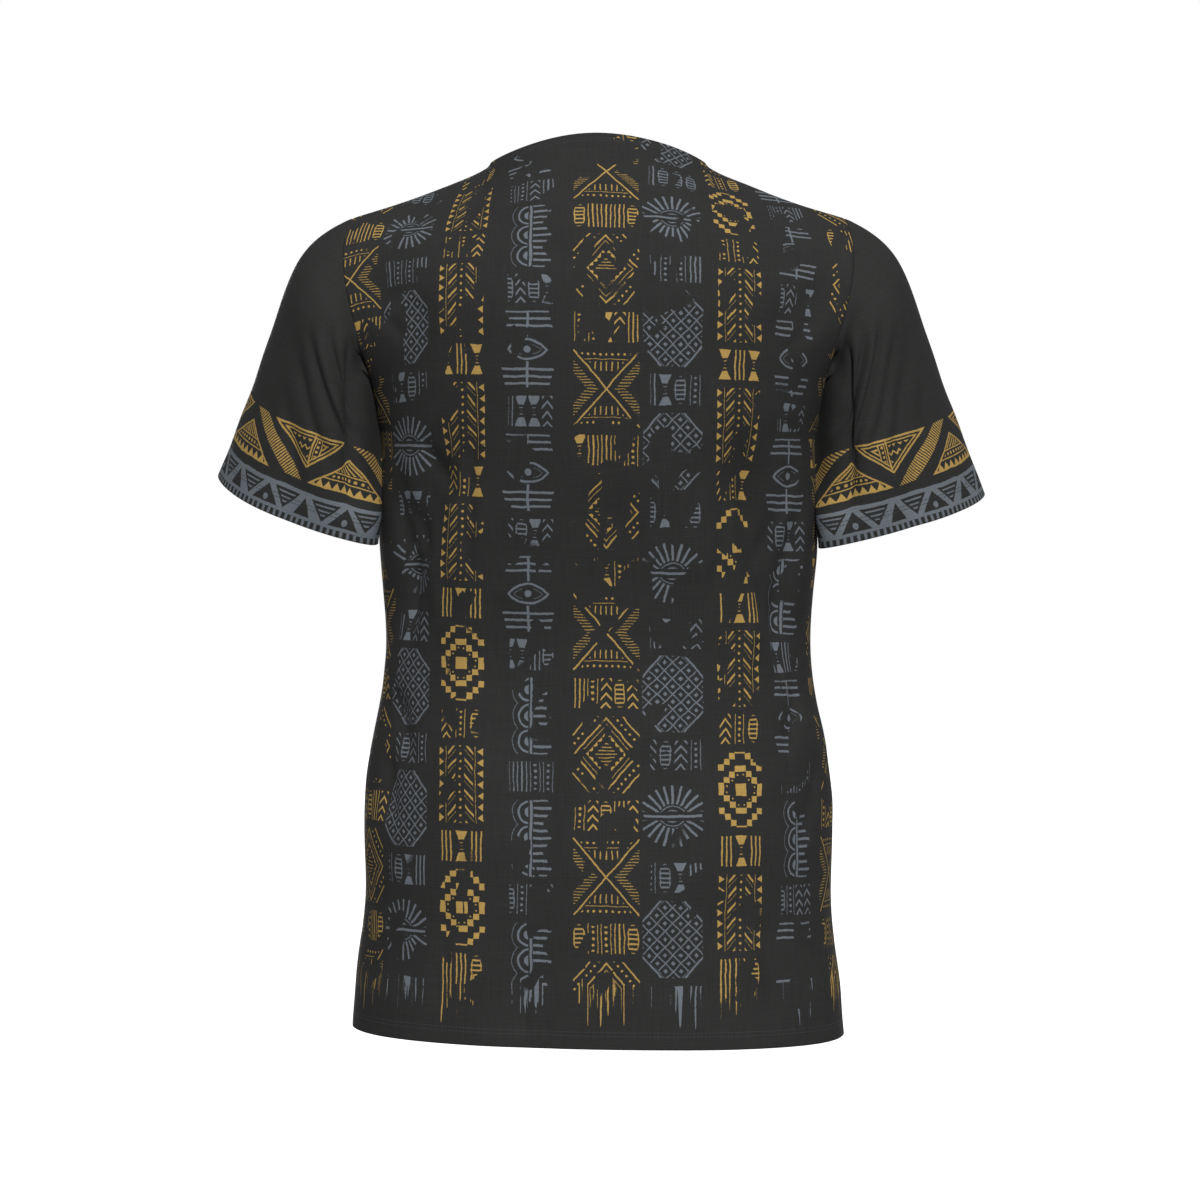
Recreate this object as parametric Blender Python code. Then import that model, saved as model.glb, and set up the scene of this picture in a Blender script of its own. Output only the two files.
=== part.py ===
"""A short-sleeved shirt in dashiki print, hollow and hanging as it is worn.

Four cut pieces of cloth (back, front, two sleeves) are laid out as grids of points on one
common surface, so that pieces share their seam points. Each piece is then given its wall.
X runs to the wearer's left, Y to the wearer's back and Z up. Z is 0 where the shoulder
seams meet the neckline.
"""

import math

import bmesh
import bpy
import numpy as np

# Cloth, in metres
WALL = 0.0012
HEM_WALL = 0.0020
NECK_TURNING = 0.010
BODY_HEM = 0.015
SLEEVE_HEM = 0.020
SEAM_GAP = 0.0003
CORNER_REACH = 0.0003
CORNER_POINTS = 3

# Main points
HEM_HEIGHT = -0.6755
HEM_TILT = 0.0035       # how far the hem rises at the wearer's left side
TILT_FROM = -0.400
VENT_TOP = -0.600
VENT_SPREAD = 0.009
UNDERARM = (0.1710, 0.0, -0.216)
SHOULDER = (0.1915, 0.0, -0.0405)
NECK_SIDE = (0.0850, 0.0, 0.0)
NECK_BACK = (0.0, 0.052, 0.0185)
NECK_FRONT = (0.0, -0.087, -0.075)
NECK_ARCH = {"back": 2.4, "front": 1.35}
SHOULDER_SAG = 0.0024

# Half the body's width up the side seam
SIDE_SEAM = (
    # place, height, half width
    ("hem", HEM_HEIGHT, 0.1915),
    ("skirt", -0.642, 0.1893),
    ("vent top", VENT_TOP, 0.1843),
    ("low hip", -0.575, 0.1818),
    ("hip", -0.525, 0.1834),
    ("high hip", -0.485, 0.1820),
    ("loin", -0.440, 0.1748),
    ("waist", -0.392, 0.1664),
    ("midriff", -0.345, 0.1672),
    ("rib", -0.300, 0.1712),
    ("side", -0.258, 0.1712),
    ("underarm", UNDERARM[2], UNDERARM[0]),
)

# Up the middle of each panel: how far the cloth stands out behind, or in front
BACK_LINE = (
    # place, height, distance out
    ("hem", HEM_HEIGHT, 0.131),
    ("vent top", -0.600, 0.127),
    ("seat", -0.535, 0.125),
    ("loin", -0.455, 0.112),
    ("waist", -0.385, 0.104),
    ("rib", -0.300, 0.116),
    ("underarm", -0.225, 0.130),
    ("blade", -0.150, 0.134),
    ("upper back", -0.095, 0.123),
    ("yoke", -0.045, 0.098),
    ("nape", -0.010, 0.071),
    ("neckline", NECK_BACK[2], NECK_BACK[1]),
)
FRONT_LINE = (
    # place, height, distance out
    ("hem", HEM_HEIGHT, 0.126),
    ("vent top", -0.600, 0.124),
    ("belly", -0.500, 0.122),
    ("waist", -0.395, 0.117),
    ("rib", -0.300, 0.128),
    ("chest", -0.215, 0.140),
    ("upper chest", -0.155, 0.134),
    ("collar bone", -0.110, 0.114),
    ("neckline", NECK_FRONT[2], -NECK_FRONT[1]),
)

# The left armhole, from underarm to shoulder, behind and in front
ARMHOLE_BACK = (
    # place, x, y, z
    ("underarm", *UNDERARM),
    ("turn", 0.1715, 0.0200, -0.2060),
    ("low", 0.1740, 0.0370, -0.1840),
    ("blade", 0.1835, 0.0500, -0.1500),
    ("middle", 0.1935, 0.0500, -0.1120),
    ("high", 0.1985, 0.0330, -0.0740),
    ("crest", 0.1965, 0.0150, -0.0520),
    ("shoulder", *SHOULDER),
)
ARMHOLE_FRONT = (
    # place, x, y, z
    ("underarm", *UNDERARM),
    ("turn", 0.1700, -0.0240, -0.2070),
    ("low", 0.1700, -0.0440, -0.1840),
    ("breast", 0.1760, -0.0560, -0.1500),
    ("middle", 0.1860, -0.0540, -0.1120),
    ("high", 0.1940, -0.0360, -0.0740),
    ("crest", 0.1950, -0.0160, -0.0520),
    ("shoulder", *SHOULDER),
)

# How far round to the side a row of the panel has turned where it meets the side seam or
# armhole, and how square the row is (2 is an ellipse)
ROW_SHAPE = (
    # row's height up the edge (0 hem, 1 underarm, 2 shoulder), turn in degrees, squareness
    (0.00, 88.0, 2.30),
    (0.55, 90.0, 2.20),
    (1.00, 88.0, 2.25),
    (1.25, 72.0, 2.15),
    (1.60, 52.0, 2.00),
    (2.00, 42.0, 2.00),
)
MOST_TURN = 89.9
ROW_DIP = 0.022         # how far the underarm row sags at the middle of the panel
TOP_SHAPE_FROM = 1.42

# How far the cloth over the shoulder blade or chest stands out from a straight run up to
# the shoulder seam, most where the neck meets the shoulder
SHOULDER_ROUNDING = {"back": 0.011, "front": 0.006}
ROUNDED_FROM = 1.28
ROUNDED_AT = 0.100
ROUNDED_WIDTH = 0.060
ROUNDED_EDGE = 6        # how late in the run to the armhole the rounding fades out

# Each sleeve's outer line, from the shoulder over the arm to the hem, and its underarm line
SLEEVE_OUTER = (
    # x, y, z
    SHOULDER,
    (0.2050, -0.0003, -0.0470),
    (0.2180, -0.0010, -0.0560),
    (0.2295, -0.0025, -0.0685),
    (0.2385, -0.0045, -0.0825),
    (0.2450, -0.0070, -0.0980),
    (0.2565, -0.0125, -0.1290),
    (0.2690, -0.0190, -0.1600),
    (0.2815, -0.0255, -0.1915),
    (0.2940, -0.0310, -0.2230),
)
SLEEVE_INNER = (
    # x, y, z
    UNDERARM,
    (0.1752, 0.0080, -0.2195),
    (0.1742, 0.0165, -0.2340),
    (0.1726, 0.0215, -0.2580),
    (0.1724, 0.0215, -0.2800),
)
SLEEVE_ENDS = {
    # side: hem's outer end, hem's inner end
    "left": ((0.3015, -0.0345, -0.2410), (0.1738, 0.0170, -0.2970)),
    "right": ((0.3065, -0.0360, -0.2560), (0.1738, 0.0170, -0.3000)),
}
SLEEVE_DEPTH = (
    # share of the sleeve's length, half the tube's depth, front to back
    (0.00, 0.0530),
    (0.20, 0.0600),
    (0.45, 0.0625),
    (0.75, 0.0600),
    (1.00, 0.0575),
)
FORWARD_LEAN = {"left": math.radians(18.0), "right": math.radians(11.5)}
SLEEVE_SETTLED = 0.55   # share of the length over which the armhole's own shape fades out
SLEEVE_SPACING = 1.12   # over 1 sets the rings closer together near the armhole
UNDERARM_TURN = 0.34    # how much the tube's lower side is turned in behind the body's side
TURNED_BY = 0.15        # share of the length over which that turn comes in

# The largest folds. Across is metres round the panel from its middle, positive to the
# wearer's left; a negative height is a trough. A fold that ends below the hem runs out at it.
FOLD_FADE = 0.3
BODY_FOLDS = {
    "back": (
        # across and z at the top, across and z at the bottom, half width, height
        (0.118, -0.200, 0.185, -0.395, 0.020, -0.0065),
        (0.100, -0.230, 0.092, -0.560, 0.022, 0.0040),
        (0.060, -0.330, 0.052, -0.679, 0.026, -0.0035),
        (-0.112, -0.195, -0.182, -0.445, 0.022, -0.0080),
        (-0.075, -0.240, -0.095, -0.600, 0.028, 0.0035),
        (0.170, -0.405, 0.186, -0.520, 0.018, -0.0040),
        (0.205, -0.095, 0.120, -0.135, 0.016, -0.0035),
        (-0.205, -0.100, -0.125, -0.145, 0.016, -0.0040),
    ),
    "front": (
        (0.125, -0.205, 0.175, -0.410, 0.022, -0.0065),
        (0.080, -0.240, 0.070, -0.600, 0.026, 0.0040),
        (-0.030, -0.300, -0.022, -0.679, 0.028, -0.0035),
        (-0.120, -0.210, -0.165, -0.430, 0.022, -0.0065),
        (-0.085, -0.260, -0.100, -0.640, 0.026, 0.0040),
    ),
}
# On a sleeve, across is metres round it from its outer line, positive behind, and along is
# metres down it from the armhole.
SLEEVE_FOLDS = {
    "left": (
        # across and along at the top, across and along at the bottom, half width, height
        (0.122, 0.012, 0.146, 0.205, 0.017, -0.0100),
        (0.088, 0.030, 0.108, 0.190, 0.014, -0.0030),
        (-0.125, 0.015, -0.145, 0.190, 0.018, -0.0080),
        (-0.085, 0.030, -0.100, 0.170, 0.015, -0.0030),
    ),
    "right": (
        (0.124, 0.012, 0.148, 0.210, 0.018, -0.0105),
        (0.086, 0.025, 0.106, 0.205, 0.014, -0.0040),
        (-0.125, 0.015, -0.143, 0.190, 0.018, -0.0080),
        (-0.082, 0.035, -0.098, 0.180, 0.015, -0.0030),
    ),
}

# The grid
NECK_COLUMNS = 6
SHOULDER_COLUMNS = 6
SIDE_ROWS = 19
ARMHOLE_ROWS = 15
SLEEVE_ROWS = 12
VENT_ROWS = 4
ROW_STEPS = 120
LINE_STEPS = 240
SMOOTHING_ROUNDS = 8
SMOOTHING_PULLS = (0.50, -0.52)

HALF_COLUMNS = NECK_COLUMNS + SHOULDER_COLUMNS
BODY_ROWS = SIDE_ROWS + ARMHOLE_ROWS
SIDES = {"left": 1.0, "right": -1.0}
PANELS = {"back": 1.0, "front": -1.0}

CLOTH_COLOUR = (0.028, 0.029, 0.029, 1.0)
CLOTH_ROUGHNESS = 0.85


def smooth_line(points):
    """A dense smooth line through a few points."""
    points = np.array(points, float)
    steps = np.linalg.norm(np.diff(points, axis=0), axis=1)
    knots = np.concatenate([[0.0], np.cumsum(steps)])
    slopes = np.gradient(points, knots, axis=0)
    places = np.linspace(0.0, knots[-1], LINE_STEPS)
    spans = np.clip(np.searchsorted(knots, places, side="right") - 1, 0, len(steps) - 1)
    width = steps[spans][:, None]
    t = ((places - knots[spans]) / steps[spans])[:, None]
    ends = points[spans] * (1 + 2 * t) * (1 - t) ** 2 + points[spans + 1] * t * t * (3 - 2 * t)
    return ends + width * (slopes[spans] * t * (1 - t) ** 2 - slopes[spans + 1] * t * t * (1 - t))


def spaced(line, shares):
    """Points at the given shares of a line's length."""
    line = np.asarray(line)
    run = np.concatenate([[0.0], np.cumsum(np.linalg.norm(np.diff(line, axis=0), axis=1))])
    places = np.asarray(shares) * run[-1]
    return np.stack([np.interp(places, run, line[:, axis]) for axis in range(3)], axis=1)


def column_of(table, place, values, at):
    """One column of a table, smoothly between its rows."""
    known = np.array([[row[place], row[values]] for row in table], float)
    slopes = np.gradient(known[:, 1], known[:, 0])
    span = int(np.clip(np.searchsorted(known[:, 0], at, side="right") - 1, 0, len(known) - 2))
    width = known[span + 1, 0] - known[span, 0]
    t = (at - known[span, 0]) / width
    start, end = known[span, 1], known[span + 1, 1]
    bend = width * (slopes[span] * t * (1 - t) ** 2 - slopes[span + 1] * t * t * (1 - t))
    return start * (1 + 2 * t) * (1 - t) ** 2 + end * t * t * (3 - 2 * t) + bend


def ease(x):
    x = np.clip(x, 0.0, 1.0)
    return x * x * (3 - 2 * x)


def edge_line(panel):
    """The panel's left edge, row by row: side seam from the hem up, then armhole."""
    armhole = ARMHOLE_BACK if panel == "back" else ARMHOLE_FRONT
    seam = smooth_line([(width, 0.0, height) for _, height, width in SIDE_SEAM])
    length, vent = seam_length(seam), VENT_TOP - HEM_HEIGHT
    in_vent = np.linspace(BODY_HEM, vent, VENT_ROWS)
    above_vent = np.linspace(vent, length, SIDE_ROWS - VENT_ROWS + 1)[1:]
    points = [*spaced(seam, np.concatenate([[0.0], in_vent, above_vent]) / length)]
    for row in range(VENT_ROWS):
        below = (VENT_TOP - points[row][2]) / vent
        points[row][1] += PANELS[panel] * VENT_SPREAD * ease(below)
    arm = smooth_line([row[1:] for row in armhole])
    points += [*spaced(arm, np.linspace(0.0, 1.0, ARMHOLE_ROWS + 1))[1:]]
    return np.array(points)


def seam_length(line):
    return float(np.linalg.norm(np.diff(line, axis=0), axis=1).sum())


def middle_line(panel):
    """The panel's middle, row by row."""
    table = BACK_LINE if panel == "back" else FRONT_LINE
    side = PANELS[panel]
    line = smooth_line([(0.0, side * out, height) for _, height, out in table])
    edge = edge_line(panel)
    split = UNDERARM[2] - ROW_DIP
    below = line[line[:, 2] < split]
    above = line[line[:, 2] >= split]
    heights = edge[: SIDE_ROWS + 1, 2]
    share = (heights - HEM_HEIGHT) / (heights[-1] - HEM_HEIGHT)
    rising = HEM_HEIGHT + share * (split - HEM_HEIGHT)
    lower = np.stack(
        [np.zeros_like(rising), np.interp(rising, below[:, 2], below[:, 1]), rising], axis=1
    )
    top_shares = hem_last(np.linspace(0.0, 1.0, ARMHOLE_ROWS + 1), NECK_TURNING / seam_length(above))
    return np.concatenate([lower, spaced(above, top_shares)[1:]])


def hem_last(shares, hem):
    """Even shares, but with the last step equal to the turning's depth."""
    rest = shares[:-1] / shares[-2]
    return np.concatenate([(1.0 - hem) * rest, [1.0]])


def top_line(panel):
    """Half the panel's top edge, from the middle of the neck out to the shoulder."""
    neck = NECK_BACK if panel == "back" else NECK_FRONT
    angle = np.linspace(0.0, math.pi / 2, NECK_COLUMNS + 1)
    lift = np.cos(angle) ** NECK_ARCH[panel]
    arc = np.stack(
        [NECK_SIDE[0] * np.sin(angle), neck[1] * np.cos(angle), neck[2] * lift], axis=1
    )
    across = np.linspace(0.0, 1.0, SHOULDER_COLUMNS + 1)[1:, None]
    seam = np.array(NECK_SIDE) + across * (np.array(SHOULDER) - np.array(NECK_SIDE))
    seam[:, 2] -= SHOULDER_SAG * np.sin(math.pi * across[:, 0])
    return np.concatenate([arc, seam])


def half_row(middle, edge, turn, square):
    """A row from the panel's middle round to its edge."""
    angle = np.linspace(0.0, math.radians(min(turn, MOST_TURN)), ROW_STEPS)
    power = 2.0 / square
    out, back = np.sin(angle) ** power, np.cos(angle) ** power
    back = (back - back[-1]) / (1.0 - back[-1])
    x = edge[0] * out / out[-1]
    y = edge[1] + (middle[1] - edge[1]) * back
    z = middle[2] + (edge[2] - middle[2]) * (x / edge[0]) ** 2
    return spaced(np.stack([x, y, z], axis=1), np.linspace(0.0, 1.0, HALF_COLUMNS + 1))


def panel_grid(panel):
    """Rows from the hem to the top, each from the wearer's right edge to the left one."""
    middles, edges, top = middle_line(panel), edge_line(panel), top_line(panel)
    run = np.linspace(0.0, 1.0, HALF_COLUMNS + 1)[:, None]
    top_bend = top - (top[0] + run * (top[-1] - top[0]))
    rows = []
    for row in range(BODY_ROWS + 1):
        height = row / SIDE_ROWS if row <= SIDE_ROWS else 1 + (row - SIDE_ROWS) / ARMHOLE_ROWS
        turn = column_of(ROW_SHAPE, 0, 1, height)
        square = column_of(ROW_SHAPE, 0, 2, height)
        half = half_row(middles[row], edges[row], turn, square)
        chord = half[0] + run * (half[-1] - half[0])
        share = ease((height - TOP_SHAPE_FROM) / (2 - TOP_SHAPE_FROM))
        half = half + share * (chord + top_bend - half)
        near = np.exp(-(((half[:, 0] - ROUNDED_AT) / ROUNDED_WIDTH) ** 2)) * (1 - run[:, 0] ** ROUNDED_EDGE)
        up = math.sin(math.pi * max(0.0, height - ROUNDED_FROM) / (2 - ROUNDED_FROM))
        out = SHOULDER_ROUNDING[panel] * up * near[:, None]
        half = half + out * (0.0, PANELS[panel] * math.sqrt(0.5), math.sqrt(0.5))
        rows.append(np.concatenate([half[:0:-1] * (-1, 1, 1), half]))
    return np.array(rows)


def hang(grid):
    """Tilts the lower half of a panel, so that the hem rises at the wearer's left."""
    low = ease((TILT_FROM - grid[:, :, 2]) / (TILT_FROM - HEM_HEIGHT))
    grid[:, :, 2] += HEM_TILT * low * grid[:, :, 0] / SIDE_SEAM[0][2]
    return grid


def sleeve_grid(side, ring):
    """Rings from the armhole to the hem. The given armhole ring starts at the shoulder."""
    outer_end, inner_end = SLEEVE_ENDS[side]
    mirror = np.array((SIDES[side], 1.0, 1.0))
    outer = smooth_line([*SLEEVE_OUTER, outer_end])
    shares = hem_last(
        np.linspace(0.0, 1.0, SLEEVE_ROWS + 1) ** SLEEVE_SPACING, SLEEVE_HEM / seam_length(outer)
    )
    outer = spaced(outer, shares) * mirror
    inner = spaced(smooth_line([*SLEEVE_INNER, inner_end]), shares) * mirror
    angle = np.linspace(0.0, 2 * math.pi, len(ring), endpoint=False)[:, None]
    rings = []
    for share, top, bottom in zip(shares, outer, inner):
        depth = column_of(SLEEVE_DEPTH, 0, 1, share)
        lean = FORWARD_LEAN[side] * ease(share)
        behind = depth * np.array((0.0, math.cos(lean), -math.sin(lean)))
        inwards = -UNDERARM_TURN * depth * ease(share / TURNED_BY) * mirror * (1.0, 0.0, 0.0)
        centre, up = (top + bottom) / 2, (top - bottom) / 2
        low = (1 - np.cos(angle)) / 2
        rings.append(centre + np.cos(angle) * up + np.sin(angle) * (behind + low * inwards))
    unlike = ring - rings[0]
    return np.array(
        [each + unlike * (1 - ease(share / SLEEVE_SETTLED)) for share, each in zip(shares, rings)]
    )


class Cloth:
    """The common surface: all points, and each piece's grid of point numbers."""

    def __init__(self):
        self.points = []
        self.grids = {}

    def add(self, point):
        self.points.append(np.array(point, float))
        return len(self.points) - 1


def lay_out():
    """Places all four pieces, with the seam points shared."""
    cloth = Cloth()
    back, front = (hang(panel_grid(panel)) for panel in ("back", "front"))
    cloth.grids["back"] = np.array([[cloth.add(point) for point in row] for row in back])
    number = np.empty(front.shape[:2], int)
    for row in range(BODY_ROWS + 1):
        for column in range(2 * HALF_COLUMNS + 1):
            on_seam = column in (0, 2 * HALF_COLUMNS) and VENT_ROWS <= row <= SIDE_ROWS
            on_shoulder = row == BODY_ROWS and abs(column - HALF_COLUMNS) >= NECK_COLUMNS
            if on_seam or on_shoulder:
                number[row, column] = cloth.grids["back"][row, column]
            else:
                number[row, column] = cloth.add(front[row, column])
    cloth.grids["front"] = number
    for side, edge in (("right", 0), ("left", 2 * HALF_COLUMNS)):
        behind = cloth.grids["back"][: SIDE_ROWS - 1 : -1, edge]
        ahead = cloth.grids["front"][SIDE_ROWS + 1 : -1, edge]
        ring = np.concatenate([behind, ahead])
        rings = sleeve_grid(side, np.array([cloth.points[each] for each in ring]))
        grid = [ring] + [[cloth.add(point) for point in each] for each in rings[1:]]
        cloth.grids["sleeve_" + side] = np.array(grid)
    cloth.points = np.array(cloth.points)
    return cloth


def around(grid):
    """A sleeve's grid with its first column again at the end."""
    return np.concatenate([grid, grid[:, :1]], axis=1)


def quads_of(name, grid):
    """Four point numbers for each face, seen from outside."""
    if name.startswith("sleeve"):
        grid = around(grid)
    corners = (grid[:-1, :-1], grid[:-1, 1:], grid[1:, 1:], grid[1:, :-1])
    quads = np.stack(corners, axis=-1).reshape(-1, 4)
    return quads[:, ::-1] if name in ("back", "sleeve_left") else quads


def all_quads(cloth):
    return np.concatenate([quads_of(name, grid) for name, grid in cloth.grids.items()])


def smooth_out(cloth):
    """Rounds off the joins of the sections. Open edges and the main points stay."""
    quads = all_quads(cloth)
    edges = np.concatenate([quads[:, [k, (k + 1) % 4]] for k in range(4)])
    edges = np.sort(edges, axis=1)
    edges, uses = np.unique(edges, axis=0, return_counts=True)
    held = np.zeros(len(cloth.points), bool)
    held[edges[uses == 1].ravel()] = True
    for name in PANELS:
        held[cloth.grids[name][SIDE_ROWS, [0, -1]]] = True
    count = np.zeros(len(cloth.points))
    np.add.at(count, edges.ravel(), 1)
    for _ in range(SMOOTHING_ROUNDS):
        for pull in SMOOTHING_PULLS:
            total = np.zeros_like(cloth.points)
            np.add.at(total, edges[:, 0], cloth.points[edges[:, 1]])
            np.add.at(total, edges[:, 1], cloth.points[edges[:, 0]])
            step = pull * (total / count[:, None] - cloth.points)
            step[held] = 0.0
            cloth.points = cloth.points + step


def normals_of(cloth):
    """The cloth's outward direction at each point, common to the pieces that meet there."""
    quads = all_quads(cloth)
    corners = cloth.points[quads]
    facing = np.cross(corners[:, 2] - corners[:, 0], corners[:, 3] - corners[:, 1])
    facing /= np.linalg.norm(facing, axis=1)[:, None]
    total = np.zeros_like(cloth.points)
    for corner in range(4):
        np.add.at(total, quads[:, corner], facing)
    return total / np.linalg.norm(total, axis=1)[:, None]


def fold_height(places, folds):
    """How far the folds lift each place, given its distance across and along the piece."""
    lift = np.zeros(len(places))
    for x0, y0, x1, y1, half_width, height in folds:
        start, run = np.array((x0, y0)), np.array((x1 - x0, y1 - y0))
        share = ((places - start) @ run) / (run @ run)
        nearest = start + np.clip(share, 0.0, 1.0)[:, None] * run
        off = np.linalg.norm(places - nearest, axis=1) / half_width
        fade = ease(share / FOLD_FADE)
        if y1 > HEM_HEIGHT:
            fade = fade * ease((1 - share) / FOLD_FADE)
        lift += height * np.exp(-off * off) * fade
    return lift


def run_across(row):
    """Distance along a row of points from its middle one, negative before it."""
    steps = np.linalg.norm(np.diff(row, axis=0), axis=1)
    run = np.concatenate([[0.0], np.cumsum(steps)])
    return run - run[len(row) // 2]


def add_folds(cloth):
    """Moves the points of the pieces along the cloth's own direction."""
    lift = np.zeros(len(cloth.points))
    for panel, folds in BODY_FOLDS.items():
        grid = cloth.grids[panel]
        rows = cloth.points[grid]
        across = np.array([run_across(row) for row in rows])
        places = np.stack([across, rows[:, :, 2]], axis=-1)[:, 1:-1].reshape(-1, 2)
        lift[grid[:, 1:-1].ravel()] += fold_height(places, folds)
    for side, folds in SLEEVE_FOLDS.items():
        grid = cloth.grids["sleeve_" + side]
        rings = cloth.points[grid]
        half = len(grid[0]) // 2
        across = np.array([run_across(np.roll(row, half, axis=0)) for row in rings])
        across = np.roll(across, -half, axis=1)
        steps = np.linalg.norm(np.diff(rings, axis=0), axis=2)
        along = np.concatenate([np.zeros((1, len(grid[0]))), np.cumsum(steps, axis=0)])
        places = np.stack([across, along], axis=-1)[1:].reshape(-1, 2)
        lift[grid[1:].ravel()] += fold_height(places, folds)
    cloth.points = cloth.points + lift[:, None] * normals_of(cloth)


def drawn_back(points, numbers, normals, seams):
    """The piece's points, with those on its seams moved in by half the gap."""
    grid = points[numbers]
    moved = grid.copy()
    for row, column, inward, reach in seams:
        step = np.zeros(3)
        for down, along in inward:
            away = grid[row + down, column + along] - grid[row, column]
            normal = normals[numbers[row, column]]
            away -= normal * (away @ normal)
            step += away / np.linalg.norm(away)
        moved[row, column] += reach * step / np.linalg.norm(step)
    return moved


def panel_seams(rows, columns):
    """Seam points of a panel: the grid steps that lead inwards from each, and how far it goes."""
    seams = []
    for column, step in ((0, 1), (columns - 1, -1)):
        for row in range(VENT_ROWS, rows - 1):
            reach = CORNER_REACH if abs(row - SIDE_ROWS) < CORNER_POINTS else SEAM_GAP / 2
            seams.append((row, column, [(0, step)], reach))
        seams.append((rows - 1, column, [(-1, 0), (0, step)], CORNER_REACH))
    for column in range(1, columns - 1):
        if abs(column - HALF_COLUMNS) >= NECK_COLUMNS:
            seams.append((rows - 1, column, [(-1, 0)], SEAM_GAP / 2))
    return seams


def sleeve_seams(columns):
    """The same for a sleeve, whose lowest armhole point is half way round."""
    seams = []
    for column in range(columns):
        near = abs(column - columns // 2) < CORNER_POINTS
        seams.append((0, column, [(1, 0)], CORNER_REACH if near else SEAM_GAP / 2))
    return seams


def walls_of(name, rows, columns):
    """The wall's thickness at each point of a piece's grid."""
    wall = np.full((rows, columns), WALL)
    if name.startswith("sleeve"):
        wall[-2:] = HEM_WALL
        return wall
    wall[:2] = HEM_WALL
    neck = slice(HALF_COLUMNS - NECK_COLUMNS + 1, HALF_COLUMNS + NECK_COLUMNS)
    wall[-2:, neck] = HEM_WALL
    return wall


def make_piece(cloth, normals, name, collection, material):
    """Gives a piece its wall: the outer and inner grids, joined round the open edges."""
    numbers = cloth.grids[name]
    rows, columns = numbers.shape
    tube = name.startswith("sleeve")
    if tube:
        seams = sleeve_seams(columns)
    else:
        seams = panel_seams(rows, columns)
    middle = drawn_back(cloth.points, numbers, normals, seams)
    half_wall = walls_of(name, rows, columns)[:, :, None] / 2 * normals[numbers]
    outer, inner = middle + half_wall, middle - half_wall

    mesh = bmesh.new()
    out = [[mesh.verts.new(point) for point in row] for row in outer]
    within = [[mesh.verts.new(point) for point in row] for row in inner]
    flip = name in ("back", "sleeve_left")

    def face(a, b, c, d):
        mesh.faces.new((d, c, b, a) if flip else (a, b, c, d))

    last = columns if tube else columns - 1
    for row in range(rows - 1):
        for column in range(last):
            after = (column + 1) % columns
            face(out[row][column], out[row][after], out[row + 1][after], out[row + 1][column])
            face(
                within[row][column],
                within[row + 1][column],
                within[row + 1][after],
                within[row][after],
            )
    for column in range(last):
        after = (column + 1) % columns
        face(out[0][column], within[0][column], within[0][after], out[0][after])
        face(out[-1][column], out[-1][after], within[-1][after], within[-1][column])
    if not tube:
        for row in range(rows - 1):
            face(out[row][0], out[row + 1][0], within[row + 1][0], within[row][0])
            face(out[row][-1], within[row][-1], within[row + 1][-1], out[row + 1][-1])
    data = bpy.data.meshes.new(name)
    mesh.to_mesh(data)
    mesh.free()
    data.shade_smooth()
    data.materials.append(material)
    collection.objects.link(bpy.data.objects.new(name, data))


def cloth_material(name):
    material = bpy.data.materials.new(name)
    material.use_nodes = True
    shader = material.node_tree.nodes["Principled BSDF"]
    shader.inputs["Base Color"].default_value = CLOTH_COLOUR
    shader.inputs["Roughness"].default_value = CLOTH_ROUGHNESS
    shader.inputs["Metallic"].default_value = 0.0
    return material


def main():
    for thing in list(bpy.data.objects):
        bpy.data.objects.remove(thing, do_unlink=True)
    collection = bpy.data.collections.new("dashiki_shirt")
    bpy.context.scene.collection.children.link(collection)
    cloth = lay_out()
    smooth_out(cloth)
    add_folds(cloth)
    normals = normals_of(cloth)
    for name in cloth.grids:
        make_piece(cloth, normals, name, collection, cloth_material(name + "_cloth"))


main()
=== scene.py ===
import math

import bpy
import numpy as np
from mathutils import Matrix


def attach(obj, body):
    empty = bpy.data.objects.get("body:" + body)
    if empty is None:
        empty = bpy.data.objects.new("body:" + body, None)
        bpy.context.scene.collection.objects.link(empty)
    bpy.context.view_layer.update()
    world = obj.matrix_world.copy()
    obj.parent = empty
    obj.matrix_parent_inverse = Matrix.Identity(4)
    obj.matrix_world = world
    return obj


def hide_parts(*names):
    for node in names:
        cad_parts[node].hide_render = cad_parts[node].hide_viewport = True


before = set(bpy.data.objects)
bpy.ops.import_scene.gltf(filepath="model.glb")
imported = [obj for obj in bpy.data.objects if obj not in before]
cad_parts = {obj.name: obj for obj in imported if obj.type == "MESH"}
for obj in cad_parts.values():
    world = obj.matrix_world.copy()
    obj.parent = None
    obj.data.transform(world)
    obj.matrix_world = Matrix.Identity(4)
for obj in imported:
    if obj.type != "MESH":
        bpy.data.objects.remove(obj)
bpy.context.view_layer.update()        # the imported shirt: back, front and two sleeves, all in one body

print("frame loaded:", sorted(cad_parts))

# X runs to the wearer's left, Y to the wearer's back and Z up, all in metres. Z is 0 where
# the shoulder seams meet the neckline.

# Small helpers


def deselectAll():
    bpy.ops.object.select_all(action="DESELECT")


def selectOnly(*pieces):
    deselectAll()
    for piece in pieces:
        piece.select_set(True)
    bpy.context.view_layer.objects.active = pieces[0]


def applyModifiers(piece):
    selectOnly(piece)
    for modifier in list(piece.modifiers):
        bpy.ops.object.modifier_apply(modifier=modifier.name)


def lengthsOf(vectors):
    return np.linalg.norm(vectors, axis=-1)


def unit(vectors):
    return vectors / np.maximum(lengthsOf(vectors), 1e-12)[..., None]


def ease(x):
    x = np.clip(x, 0.0, 1.0)
    return x * x * (3 - 2 * x)


def sums(steps):                        # running sums from 0
    return np.concatenate([np.zeros_like(steps[:1]), np.cumsum(steps, axis=0)])


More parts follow.
